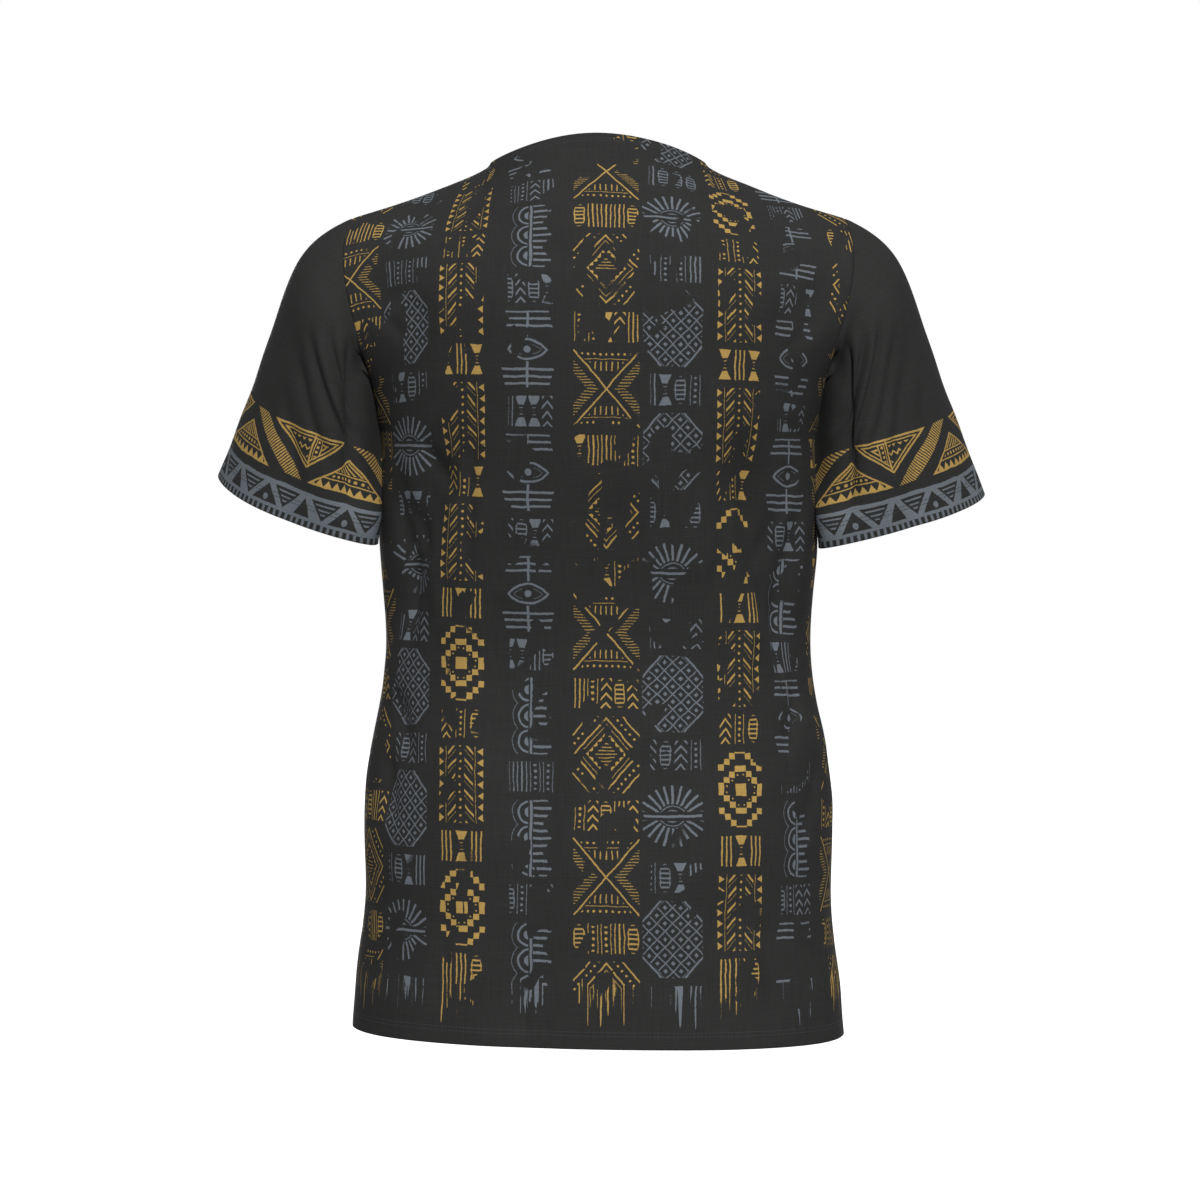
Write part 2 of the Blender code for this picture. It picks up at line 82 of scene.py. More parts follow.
def runOf(lines):                       # distance along a line, or down each column of a grid
    return sums(lengthsOf(np.diff(lines, axis=0)))


def runAcross(rows):                    # the same along each row
    return runOf(np.swapaxes(rows, 0, 1)).T


def fromMiddle(rows):                   # distance along each row from its middle point
    across = runAcross(rows)
    return across - across[:, [rows.shape[1] // 2]]


def smoothAt(knots, values, places):    # a smooth curve through values at the knots, read at places
    slopes = np.gradient(values, knots, axis=0)
    span = np.clip(np.searchsorted(knots, places, side="right") - 1, 0, len(knots) - 2)
    width = (knots[span + 1] - knots[span])[:, None]
    t = (places - knots[span])[:, None] / width
    ends = values[span] * (1 + 2 * t) * (1 - t) ** 2 + values[span + 1] * t * t * (3 - 2 * t)
    return ends + width * (slopes[span] * t * (1 - t) ** 2 - slopes[span + 1] * t * t * (1 - t))


def smoothLine(points, steps=240):      # a dense smooth line through a few points
    points = np.array(points, float)
    knots = runOf(points)
    return smoothAt(knots, points, np.linspace(0.0, knots[-1], steps))


def valueAt(table, at):                 # a table's value, smoothly between its rows
    known = np.array(table, float)
    return smoothAt(known[:, 0], known[:, 1:], np.array([at]))[0, 0]


def spaced(line, shares):               # points at the given shares of a line's length
    line = np.asarray(line)
    run = runOf(line)
    places = np.asarray(shares) * run[-1]
    return np.stack([np.interp(places, run, line[:, axis]) for axis in range(3)], axis=1)


# The cut: the same main points and sections as the solid shirt

cut = {
    "hem": -0.6755, "hemTilt": 0.0035, "tiltFrom": -0.400,
    "ventTop": -0.600, "ventSpread": 0.009, "bodyHem": 0.015, "neckTurning": 0.010,
    "underarm": (0.1710, 0.0, -0.216), "shoulder": (0.1915, 0.0, -0.0386),
    "neckSide": (0.0850, 0.0, 0.0), "shoulderSag": 0.0024,
    "sideSeam": [       # height, half the body's width
        (-0.6755, 0.1915), (-0.642, 0.1893), (-0.600, 0.1843), (-0.575, 0.1818), (-0.525, 0.1834),
        (-0.485, 0.1820), (-0.440, 0.1748), (-0.392, 0.1664), (-0.345, 0.1672), (-0.300, 0.1712),
        (-0.258, 0.1712), (-0.216, 0.1710),
    ],
    "rowTurn": [        # height up the edge (0 hem, 1 underarm, 2 shoulder), degrees round
        (0.00, 88.0), (0.55, 90.0), (1.00, 88.0), (1.25, 72.0), (1.60, 52.0), (2.00, 42.0),
    ],
    "rowSquare": [      # the same heights, how square the row is (2 is an ellipse)
        (0.00, 2.30), (0.55, 2.20), (1.00, 2.25), (1.25, 2.15), (1.60, 2.00), (2.00, 2.00),
    ],
    "mostTurn": 89.9, "rowDip": 0.022, "topShapeFrom": 1.42,
    "roundedFrom": 1.28, "roundedAt": 0.100, "roundedWidth": 0.060, "roundedEdge": 6,
}

backCut = {
    "side": 1.0, "neck": (0.052, 0.0185), "neckArch": 2.4, "shoulderRounding": 0.011,
    "middle": [         # height, how far the cloth stands out
        (-0.6755, 0.131), (-0.600, 0.127), (-0.535, 0.125), (-0.455, 0.112), (-0.385, 0.104),
        (-0.300, 0.116), (-0.225, 0.130), (-0.150, 0.134), (-0.095, 0.123), (-0.045, 0.098),
        (-0.010, 0.071), (0.0185, 0.052),
    ],
    "armhole": [        # from the underarm to the shoulder
        (0.1710, 0.0, -0.216), (0.1715, 0.0200, -0.2060), (0.1740, 0.0370, -0.1840),
        (0.1835, 0.0500, -0.1500), (0.1935, 0.0500, -0.1120), (0.1985, 0.0330, -0.0740),
        (0.1965, 0.0150, -0.0520), (0.1915, 0.0, -0.0386),
    ],
}

frontCut = {
    "side": -1.0, "neck": (-0.087, -0.075), "neckArch": 1.35, "shoulderRounding": 0.006,
    "middle": [
        (-0.6755, 0.126), (-0.600, 0.124), (-0.500, 0.122), (-0.395, 0.117), (-0.300, 0.128),
        (-0.215, 0.140), (-0.155, 0.134), (-0.110, 0.114), (-0.075, 0.087),
    ],
    "armhole": [
        (0.1710, 0.0, -0.216), (0.1700, -0.0240, -0.2070), (0.1700, -0.0440, -0.1840),
        (0.1760, -0.0560, -0.1500), (0.1860, -0.0540, -0.1120), (0.1940, -0.0360, -0.0740),
        (0.1950, -0.0160, -0.0520), (0.1915, 0.0, -0.0386),
    ],
}

sleeveCut = {
    "hem": 0.020, "settled": 0.55, "spacing": 1.12, "underarmTurn": 0.39, "turnedBy": 0.11,
    "outer": [
        (0.1915, 0.0, -0.0386), (0.2050, -0.0003, -0.0447), (0.2180, -0.0010, -0.0536),
        (0.2295, -0.0025, -0.0668), (0.2385, -0.0045, -0.0825), (0.2450, -0.0070, -0.0980),
        (0.2565, -0.0125, -0.1290), (0.2690, -0.0190, -0.1600), (0.2815, -0.0255, -0.1915),
        (0.2940, -0.0310, -0.2230),
    ],
    "inner": [
        (0.1710, 0.0, -0.216), (0.1752, 0.0080, -0.2195), (0.1742, 0.0165, -0.2340),
        (0.1726, 0.0215, -0.2580), (0.1724, 0.0215, -0.2800),
    ],
    "depth": [          # share of the length, half the tube's depth
        (0.00, 0.0530), (0.20, 0.0600), (0.45, 0.0625), (0.75, 0.0600), (1.00, 0.0575),
    ],
    "tuckFrom": 0.62, "tuckOver": 0.24, "tuckAlong": (0.0, 0.10, 0.50, 0.42),   # next to the body
    "left": {
        "mirror": 1.0, "lean": 18.0, "tuck": 0.70,
        "ends": ((0.3015, -0.0345, -0.2410), (0.1738, 0.0170, -0.2928)),
    },
    "right": {
        "mirror": -1.0, "lean": 11.5, "tuck": 0.86,
        "ends": ((0.3065, -0.0360, -0.2560), (0.1738, 0.0170, -0.2980)),
    },
}

# Finer grid than the solid's: columns of half a panel, rows, and rounds of smoothing
grid = {
    "neck": 9, "shoulder": 9, "side": 27, "armhole": 21, "vent": 6, "sleeve": 17, "levels": 2,
    "rounds": 18,
    "apart": 1000,      # between one piece's columns and the next one's, in the map of places
}
halfColumns = grid["neck"] + grid["shoulder"]
bodyRows = grid["side"] + grid["armhole"]
fineSteps = 2 ** grid["levels"]


def edgeLine(panel):        # the panel's left edge: side seam from the hem up, then armhole
    seam = smoothLine([(width, 0.0, height) for height, width in cut["sideSeam"]])
    length, vent = runOf(seam)[-1], cut["ventTop"] - cut["hem"]
    inVent = np.linspace(cut["bodyHem"], vent, grid["vent"])
    above = np.linspace(vent, length, grid["side"] - grid["vent"] + 1)[1:]
    points = [*spaced(seam, np.concatenate([[0.0], inVent, above]) / length)]
    for point in points[:grid["vent"]]:
        point[1] += panel["side"] * cut["ventSpread"] * ease((cut["ventTop"] - point[2]) / vent)
    arm = smoothLine(panel["armhole"])
    return np.array(points + [*spaced(arm, np.linspace(0.0, 1.0, grid["armhole"] + 1))[1:]])


def hemLast(shares, hem):   # even shares, but the last step is the turning's depth
    return np.concatenate([(1.0 - hem) * shares[:-1] / shares[-2], [1.0]])


def middleLine(panel):
    line = smoothLine([(0.0, panel["side"] * out, height) for height, out in panel["middle"]])
    heights = edgeLine(panel)[: grid["side"] + 1, 2]
    split = cut["underarm"][2] - cut["rowDip"]
    below, above = line[line[:, 2] < split], line[line[:, 2] >= split]
    rising = cut["hem"] + (heights - cut["hem"]) / (heights[-1] - cut["hem"]) * (split - cut["hem"])
    lower = np.stack([0 * rising, np.interp(rising, below[:, 2], below[:, 1]), rising], axis=1)
    shares = hemLast(np.linspace(0.0, 1.0, grid["armhole"] + 1), cut["neckTurning"] / runOf(above)[-1])
    return np.concatenate([lower, spaced(above, shares)[1:]])


def topLine(panel):         # half the top edge, from the middle of the neck to the shoulder
    angle = np.linspace(0.0, math.pi / 2, grid["neck"] + 1)
    out, height = panel["neck"]
    neckSide, shoulder = np.array(cut["neckSide"]), np.array(cut["shoulder"])
    lift = np.cos(angle) ** panel["neckArch"]
    arc = np.stack([neckSide[0] * np.sin(angle), out * np.cos(angle), height * lift], axis=1)
    across = np.linspace(0.0, 1.0, grid["shoulder"] + 1)[1:, None]
    seam = neckSide + across * (shoulder - neckSide)
    seam[:, 2] -= cut["shoulderSag"] * np.sin(math.pi * across[:, 0])
    return np.concatenate([arc, seam])


def halfRow(middle, edge, turn, square):
    angle = np.linspace(0.0, math.radians(min(turn, cut["mostTurn"])), 120)
    out, back = np.sin(angle) ** (2 / square), np.cos(angle) ** (2 / square)
    back = (back - back[-1]) / (1.0 - back[-1])
    x = edge[0] * out / out[-1]
    y = edge[1] + (middle[1] - edge[1]) * back
    z = middle[2] + (edge[2] - middle[2]) * (x / edge[0]) ** 2
    return spaced(np.stack([x, y, z], axis=1), np.linspace(0.0, 1.0, halfColumns + 1))


def panelGrid(panel):       # rows from hem to top, each from the wearer's right to the left
    middles, edges, top = middleLine(panel), edgeLine(panel), topLine(panel)
    run = np.linspace(0.0, 1.0, halfColumns + 1)[:, None]
    topBend = top - (top[0] + run * (top[-1] - top[0]))
    rows = []
    for row in range(bodyRows + 1):
        height = row / grid["side"] if row <= grid["side"] else 1 + (row - grid["side"]) / grid["armhole"]
        turn, square = valueAt(cut["rowTurn"], height), valueAt(cut["rowSquare"], height)
        half = halfRow(middles[row], edges[row], turn, square)
        chord = half[0] + run * (half[-1] - half[0])
        share = ease((height - cut["topShapeFrom"]) / (2 - cut["topShapeFrom"]))
        half = half + share * (chord + topBend - half)
        near = np.exp(-(((half[:, 0] - cut["roundedAt"]) / cut["roundedWidth"]) ** 2))
        near = near * (1 - run[:, 0] ** cut["roundedEdge"])
        up = math.sin(math.pi * max(0.0, height - cut["roundedFrom"]) / (2 - cut["roundedFrom"]))
        outwards = (0.0, panel["side"] * math.sqrt(0.5), math.sqrt(0.5))
        half = half + panel["shoulderRounding"] * up * near[:, None] * outwards
        rows.append(np.concatenate([half[:0:-1] * (-1, 1, 1), half]))
    rows = np.array(rows)
    low = ease((cut["tiltFrom"] - rows[:, :, 2]) / (cut["tiltFrom"] - cut["hem"]))
    rows[:, :, 2] += cut["hemTilt"] * low * rows[:, :, 0] / cut["sideSeam"][0][1]
    return rows


def sleeveGrid(side, ring):  # rings from the armhole to the cuff, each from the shoulder round behind
    own = sleeveCut[side]
    mirror = np.array((own["mirror"], 1.0, 1.0))
    outer = smoothLine([*sleeveCut["outer"], own["ends"][0]])
    shares = np.linspace(0.0, 1.0, grid["sleeve"] + 1) ** sleeveCut["spacing"]
    shares = hemLast(shares, sleeveCut["hem"] / runOf(outer)[-1])
    outer = spaced(outer, shares) * mirror
    inner = spaced(smoothLine([*sleeveCut["inner"], own["ends"][1]]), shares) * mirror
    angle = np.linspace(0.0, 2 * math.pi, len(ring), endpoint=False)[:, None]
    rings = []
    for share, top, bottom in zip(shares, outer, inner):
        depth = valueAt(sleeveCut["depth"], share)
        lean = math.radians(own["lean"]) * ease(share)
        behind = depth * np.array((0.0, math.cos(lean), -math.sin(lean)))
        turned = sleeveCut["underarmTurn"] * depth * ease(share / sleeveCut["turnedBy"])
        inwards = -turned * mirror * (1.0, 0.0, 0.0)
        centre, up = (top + bottom) / 2, (top - bottom) / 2
        low = (1 - np.cos(angle)) / 2
        rings.append(centre + np.cos(angle) * up + np.sin(angle) * (behind + low * inwards))
    unlike = ring - rings[0]
    fade = 1 - ease(shares / sleeveCut["settled"])
    rings = np.array([each + unlike * share for share, each in zip(fade, rings)])
    start, full, end, over = sleeveCut["tuckAlong"]
    along = ease((shares - start) / full) * (1 - ease((shares - end) / over))
    around = ease((low[:, 0] - sleeveCut["tuckFrom"]) / sleeveCut["tuckOver"])
    rings[:, :, 1] -= (rings[:, :, 1] - inner[:, 1:2]) * own["tuck"] * along[:, None] * around
    return rings


backPoints, frontPoints = panelGrid(backCut), panelGrid(frontCut)
left, right = 2 * halfColumns, 0
seamRows = slice(grid["vent"], grid["side"] + 1)
shoulderColumns = [k for k in range(2 * halfColumns + 1) if abs(k - halfColumns) >= grid["neck"]]
for column in (left, right):
    frontPoints[seamRows, column] = backPoints[seamRows, column]
frontPoints[-1, shoulderColumns] = backPoints[-1, shoulderColumns]
cage = {"back": backPoints, "front": frontPoints}
for side, column in (("left", left), ("right", right)):
    behind = backPoints[: grid["side"] - 1 : -1, column]
    ahead = frontPoints[grid["side"] + 1 : -1, column]
    rings = sleeveGrid(side, np.concatenate([behind, ahead]))
    half = rings.shape[1] // 2
    rolled = np.roll(rings, -half, axis=1)         # the sleeve's own seam runs down from the underarm
    cage["sleeve_" + side] = np.concatenate([rolled, rolled[:, :1]], axis=1)
print("cut laid out:", {name: points.shape[:2] for name, points in cage.items()})


# One sheet for the whole shirt, so that the cloth runs smoothly over its seams


def read(items, key, width=1, kind=np.float32):     # a value, or several, of each item of a mesh
    values = np.empty(len(items) * width, kind)
    items.foreach_get(key, values)
    return values.reshape(-1, width) if width > 1 else values


def addGrid(name, points):
    rows, columns = points.shape[:2]
    deselectAll()
    bpy.ops.mesh.primitive_grid_add(x_subdivisions=columns - 1, y_subdivisions=rows - 1, size=1.0)
    piece = bpy.context.active_object
    piece.name = piece.data.name = name
    assert len(piece.data.vertices) == rows * columns
    piece.data.vertices.foreach_set("co", points.reshape(-1).astype(np.float32))
    return piece


def setCorners(piece, layerName, values):      # values at the grid's points, given to face corners
    mesh = piece.data
    layer = mesh.uv_layers.get(layerName) or mesh.uv_layers.new(name=layerName)
    corners = read(mesh.loops, "vertex_index", kind=np.int32)
    layer.data.foreach_set("uv", values.reshape(-1, 2)[corners].reshape(-1).astype(np.float32))


sheets = []
for number, (name, points) in enumerate(cage.items()):
    sheet = addGrid("cage_" + name, points)
    rows, columns = points.shape[:2]
    first = float(grid["apart"] * number)
    places = np.stack(np.meshgrid(np.arange(columns) + first, np.arange(rows)), axis=-1)
    setCorners(sheet, "UVMap", places)
    sheets.append(sheet)
selectOnly(*sheets)
bpy.ops.object.join()
shirt = bpy.context.active_object
shirt.location = (0, 0, 0)
bpy.ops.object.mode_set(mode="EDIT")
bpy.ops.mesh.select_all(action="SELECT")
bpy.ops.mesh.remove_doubles(threshold=0.00002)
bpy.ops.mesh.normals_make_consistent(inside=False)
bpy.ops.object.mode_set(mode="OBJECT")

# Rounds off the joins of the sections, as on the solid shirt. Open edges and underarms stay.
mesh = shirt.data
ends = read(mesh.edges, "vertices", 2, np.int32)
uses = np.zeros(len(mesh.edges), int)
np.add.at(uses, np.array([loop.edge_index for loop in mesh.loops]), 1)
held = np.zeros(len(mesh.vertices), bool)
held[ends[uses == 1].ravel()] = True
points = read(mesh.vertices, "co", 3).astype(float)
for x in (cut["underarm"][0], -cut["underarm"][0]):
    held[lengthsOf(points - (x, 0.0, cut["underarm"][2])) < 1e-4] = True
near = np.zeros(len(points))
np.add.at(near, ends.ravel(), 1)
for _ in range(grid["rounds"]):
    for pull in (0.50, -0.52):
        total = np.zeros_like(points)
        np.add.at(total, ends[:, 0], points[ends[:, 1]])
        np.add.at(total, ends[:, 1], points[ends[:, 0]])
        step = pull * (total / near[:, None] - points)
        step[held] = 0.0
        points = points + step
mesh.vertices.foreach_set("co", points.reshape(-1).astype(np.float32))

smoother = shirt.modifiers.new("smoother", "SUBSURF")
smoother.levels = smoother.render_levels = grid["levels"]
smoother.uv_smooth = "NONE"
smoother.boundary_smooth = "PRESERVE_CORNERS"
applyModifiers(shirt)
print("whole shirt:", len(shirt.data.polygons), "faces")


# Reads each piece's fine grid back: where every row and column lies, and which way it faces


def readGrids(mesh):
    points = read(mesh.vertices, "co", 3).astype(float)
    normals = read(mesh.vertex_normals, "vector", 3).astype(float)
    corners = read(mesh.loops, "vertex_index", kind=np.int32)
    places = np.rint(read(mesh.uv_layers["UVMap"].data, "uv", 2) * fineSteps).astype(int)
    apart = grid["apart"] * fineSteps
    owner = (places[:, 0] + 1) // apart
    places[:, 0] -= owner * apart
    found = {}
    for index, (name, coarse) in enumerate(cage.items()):
        rows, columns = [(count - 1) * fineSteps + 1 for count in coarse.shape[:2]]
        which = np.full((rows, columns), -1)
        mine = owner == index
        which[places[mine, 1], places[mine, 0]] = corners[mine]
        assert (which >= 0).all()
        found[name] = which
    return points, normals, found


points, normals, numbers = readGrids(shirt.data)
assert (normals[:, 1] * points[:, 1])[np.abs(points[:, 1]) > 0.06].min() > 0      # all face outwards


def flatPanel(rows):        # each point's place on the flat cut: across from the middle, up from the hem
    across = fromMiddle(rows)
    steps = lengthsOf(np.diff(rows, axis=0))
    rise = np.sqrt(np.maximum(steps ** 2 - np.diff(across, axis=0) ** 2, (0.3 * steps) ** 2))
    return np.stack([across, sums(rise)], axis=-1)


def flatSleeve(rows):       # round the cuff from its outer line, and up from the cuff
    across = runOf(rows[-1])
    across = np.tile(across - across[len(across) // 2], (len(rows), 1))
    return np.stack([across, runOf(rows[::-1])[::-1]], axis=-1)


printShift = {"front": 0.071}       # the front is cut from another place of the print
flat = {}
for name, which in numbers.items():
    flat[name] = (flatSleeve if name.startswith("sleeve") else flatPanel)(points[which])
    flat[name][:, :, 0] += printShift.get(name, 0.0)
    size = flat[name].reshape(-1, 2)
    print(name, "flat", np.round(size.min(0), 3), np.round(size.max(0), 3))
selectOnly(shirt)
bpy.ops.object.delete()

# The largest folds, where the solid has them, then the finer creases, all in millimetres. Each
# runs from one place on the flat cut to another; bend is how far it bows to one side.

largeFolds = {
    "back": [       # across and height at the top, at the bottom, half width, lift
        (118, -200, 185, -395, 20, -6.5), (100, -230, 92, -560, 22, 4), (60, -330, 52, -679, 26, -3.5),
        (-112, -195, -182, -445, 22, -8), (-75, -240, -95, -600, 28, 3.5), (170, -405, 186, -520, 18, -4),
        (205, -95, 120, -135, 16, -3.5), (-205, -100, -125, -145, 16, -4),
        (-100, -190, -150, -385, 17, -6.2), (108, -200, 166, -365, 13, -3.5),
    ],
    "front": [
        (125, -205, 175, -410, 22, -6.5), (80, -240, 70, -600, 26, 4), (-30, -300, -22, -679, 28, -3.5),
        (-120, -210, -165, -430, 22, -6.5), (-85, -260, -100, -640, 26, 4),
    ],
    "sleeve_left": [    # round from the outer line, down from the armhole
        (132, -20, 158, 150, 15, -8), (78, 60, 104, 190, 14, -3), (-130, -10, -150, 120, 17, -5.5),
        (-85, 50, -100, 170, 15, -3),
    ],
    "sleeve_right": [
        (130, -20, 160, 150, 16, -9.5), (80, 60, 106, 205, 14, -3.5), (-130, -10, -150, 120, 17, -5.5),
        (-82, 55, -98, 180, 15, -3),
    ],
}

# Finer creases, in the same terms. The last value is how far one bows aside. On the back they
# lie where the photo shows them; the front and the sleeves' far sides have ones of their kind.
creases = {
    "back": [
        (176, -226, 128, -318, 7.5, -2.4, 6), (182, -238, 156, -392, 8.5, -4.9, -7),
        (150, -212, 104, -268, 7, -2.6, 4), (136, -262, 122, -372, 8, 2.9, 4),
        (94, -200, 100, -332, 6.2, -3.2, 3), (172, -402, 150, -470, 8.5, -4.3, 3),
        (188, -448, 166, -520, 8, -2.6, 2), (58, -610, 57, -672, 6.2, -2.9, 0),
        (116, -560, 121, -662, 8.5, -2.3, 3), (30, -420, 34, -560, 11, -1.7, 4),
        (-172, -224, -118, -330, 8, -2.8, -7), (-184, -240, -150, -424, 9, -5.5, 8),
        (-118, -236, -144, -382, 7.2, -4.2, 4), (-132, -270, -116, -400, 8.5, 3.5, -4),
        (-100, -232, -84, -352, 7.5, -2.3, -4), (-176, -396, -148, -462, 8.5, -4.3, -3),
        (-192, -456, -162, -534, 8, -2.9, -3), (-132, -572, -140, -664, 8.5, -2.6, 3),
        (-52, -470, -46, -642, 11, -1.7, -4), (196, -112, 150, -146, 7, -2, 2),
        (-190, -118, -146, -158, 7, -2.3, -2), (60, -70, -64, -82, 12, -1.3, 10),
    ],
    "front": [
        (172, -224, 112, -296, 7.5, -4.3, 6), (184, -240, 158, -400, 8.5, -4.9, -6),
        (140, -200, 92, -236, 7.5, -2.6, 4), (130, -270, 112, -390, 8.5, 2.9, 4),
        (170, -410, 142, -476, 8.5, -4.1, 3), (94, -540, 100, -650, 8.5, -2.6, 3),
        (40, -180, 18, -290, 10, -1.7, 4), (-176, -226, -122, -312, 7.5, -4.6, -6),
        (-186, -246, -150, -410, 9, -4.9, 7), (-142, -204, -88, -252, 7.5, -2.9, -4),
        (-128, -280, -108, -404, 8.5, 3.2, -4), (-174, -404, -140, -480, 8.5, -4.3, -3),
        (-120, -560, -128, -660, 8.5, -2.6, 3), (-36, -460, -30, -640, 11, -1.7, -4),
        (74, -128, -70, -136, 12, -1.3, 12),
    ],
    "sleeve_left": [    # these fan out from the underarm
        (74, 44, 156, 88, 6, -3.8, 6), (94, 20, 164, 70, 6.2, -4.4, 5), (66, 72, 142, 114, 6.4, -2.8, 5),
        (112, 6, 170, 50, 5.8, -3.6, 4), (86, 34, 156, 78, 5.2, 2.2, 5),
        (60, 100, 118, 150, 7.5, -1.8, 4), (-80, 40, -152, 90, 6.2, -3.4, -6),
        (-98, 18, -160, 72, 6.2, -3.8, -5), (-70, 76, -134, 120, 6.6, -2.4, -5),
        (-54, 110, -110, 156, 7.5, -1.6, -4),
    ],
    "sleeve_right": [
        (80, 30, 150, 92, 6.4, -5.4, 5), (98, 16, 166, 86, 6.4, -5.8, 5), (68, 52, 132, 110, 6.6, -4, 5),
        (116, 4, 170, 62, 6, -4.6, 4), (90, 24, 156, 86, 5.2, 2.8, 5), (60, 78, 120, 132, 7, -2.8, 5),
        (50, 110, 104, 162, 7.5, -1.8, 4), (-82, 34, -152, 92, 6.4, -4.4, -6),
        (-100, 16, -162, 76, 6.2, -4.6, -5), (-68, 68, -130, 120, 6.6, -3, -5),
        (-56, 104, -108, 158, 7.5, -1.8, -4),
    ],
}
waves = [       # soft unevenness all over: length, direction in degrees, height, start
    (0.083, 12.0, 0.00028, 0.3), (0.061, 71.0, 0.00022, 1.9), (0.112, 138.0, 0.00034, 4.1),
    (0.047, 103.0, 0.00014, 2.6), (0.139, 55.0, 0.00036, 5.2),
]
foldFade = 0.3      # share of a fold's length over which it fades at each end


def liftOf(places, folds):
    lift = np.zeros(places.shape[:-1])
    for fold in folds:
        x0, y0, x1, y1, halfWidth, height, *bend = [value / 1000 for value in fold]
        start, run = np.array((x0, y0)), np.array((x1 - x0, y1 - y0))
        length = np.linalg.norm(run)
        share = np.clip(((places - start) @ run) / length ** 2, 0.0, 1.0)
        bow = (bend[0] if bend else 0.0) * 4 * share * (1 - share)
        line = start + share[..., None] * run + bow[..., None] * np.array((-run[1], run[0])) / length
        off = lengthsOf(places - line) / halfWidth
        fade = ease(share / foldFade)
        if y1 >= cut["hem"]:                # folds that end below the hem run out over it
            fade = fade * ease((1 - share) / foldFade)
        lift += height * np.exp(-off * off) * fade
    return lift


def placesFor(name, rows):      # folds are placed by height on the body, by length on a sleeve
    height = runOf(rows) if name.startswith("sleeve") else rows[:, :, 2]
    return np.stack([fromMiddle(rows), height], axis=-1)


def edgeFade(name, shape, steps=4):      # 0 on the sewn edges, 1 a little way in
    rows, columns = np.mgrid[: shape[0], : shape[1]].astype(float)
    if name.startswith("sleeve"):
        near = rows
    else:
        sewn = rows >= grid["vent"] * fineSteps
        near = np.where(sewn, np.minimum(columns, shape[1] - 1 - columns), steps)
        onShoulder = np.abs(columns - shape[1] // 2) >= grid["neck"] * fineSteps
        near = np.where(onShoulder, np.minimum(near, shape[0] - 1 - rows), near)
    return ease(near / steps)


lift = np.zeros(len(points))
for name, which in numbers.items():
    rows = points[which]
    places = placesFor(name, rows)
    own = liftOf(places, largeFolds[name]) + liftOf(places, creases[name])
    for length, direction, height, start in waves:
        turn = math.radians(direction)
        run = places @ np.array((math.cos(turn), math.sin(turn)))
        own += height * np.sin(2 * math.pi * run / length + start)
    own = own * edgeFade(name, which.shape)
    lift[which.ravel()] = np.where(np.abs(own.ravel()) > 0, own.ravel(), lift[which.ravel()])
points = points + lift[:, None] * normals

pieceGrids = {name: (points[which], normals[which], flat[name]) for name, which in numbers.items()}

# Sewn edges are turned under and pressed open, hems are turned up

cloth = {
    "thickness": 0.0005, "foldDepth": 0.0009, "seamAllowance": 0.008, "seamSink": 0.0003,
    "seamGap": 0.00034, "seamRound": 0.0009, "neckTurning": 0.009, "bodyHem": 0.014, "cuffHem": 0.019,
    "ventTurning": 0.010, "foldTaken": 0.0005, "foldRound": 0.3,
}
turnedLines = {"edge": 4, "added": 5}       # four lines lie under the edge, one comes right after it


def onLines(lines, distance):       # values at a distance in from the edge, which is line 0
    away = runOf(lines[0])
    out = [np.empty(values.shape[1:]) for values in lines]
    for column in range(away.shape[1]):
        at = distance[column], away[:, column]
        for values, result in zip(lines, out):
            for axis in range(values.shape[2]):
                result[column, axis] = np.interp(*at, values[:, column, axis])
    return out


def turnUnder(lines, width, sewn):      # adds the lines of a turning before line 0
    points, normals, flat = lines
    count = points.shape[1]
    width, sewn = np.broadcast_to(width, count), np.broadcast_to(sewn, count)[:, None]
    outward = unit(points[0] - points[1])
    outward = unit(outward - normals[0] * (outward * normals[0]).sum(-1, keepdims=True))
    edge = points[0] - sewn * (outward * cloth["seamGap"] + normals[0] * cloth["seamSink"])
    depth, flatOut = cloth["foldDepth"], unit(flat[0] - flat[1])
    new = [(
        edge + outward * cloth["foldRound"] * depth * (1 - sewn) - normals[0] * depth * 0.5,
        unit(normals[0] + outward), flat[0] + flatOut * cloth["foldTaken"],
    ), (edge - normals[0] * depth, normals[0], flat[0] + flatOut * cloth["foldTaken"] * 2)]
    for share in (0.4, 1.0):
        under, facing, _ = onLines(lines, width * share)
        facing = unit(facing)
        new.append((under - facing * depth, facing, flat[0] + flatOut * width[:, None] * share))
    close, facing, closeFlat = onLines(lines, np.full(count, cloth["seamRound"]))
    first = [(close, unit(facing), closeFlat), (edge, normals[0], flat[0])]
    return tuple(
        np.concatenate([np.array([each[part] for each in (first + new)[::-1]]), values[1:]])
        for part, values in enumerate((points, normals, flat))
    )


def flipped(lines):
    return tuple(values[::-1] for values in lines)


def sideways(lines):
    return tuple(np.swapaxes(values, 0, 1) for values in lines)


def finishedPanel(lines):
    columns = lines[0].shape[1]
    lines = turnUnder(lines, cloth["bodyHem"], 0.0)
    atShoulder = np.abs(np.arange(columns) - columns // 2) >= grid["neck"] * fineSteps
    width = np.where(atShoulder, cloth["seamAllowance"], cloth["neckTurning"])
    lines = flipped(turnUnder(flipped(lines), width, atShoulder.astype(float)))
    rows = lines[0].shape[0]
    sewn = np.arange(rows) >= turnedLines["added"] + grid["vent"] * fineSteps
    width, sewn = np.where(sewn, cloth["seamAllowance"], cloth["ventTurning"]), sewn.astype(float)
    lines = turnUnder(sideways(lines), width, sewn)
    return sideways(flipped(turnUnder(flipped(lines), width, sewn)))


def finishedSleeve(lines):
    lines = turnUnder(lines, cloth["seamAllowance"], 1.0)
    return flipped(turnUnder(flipped(lines), cloth["cuffHem"], 0.0))


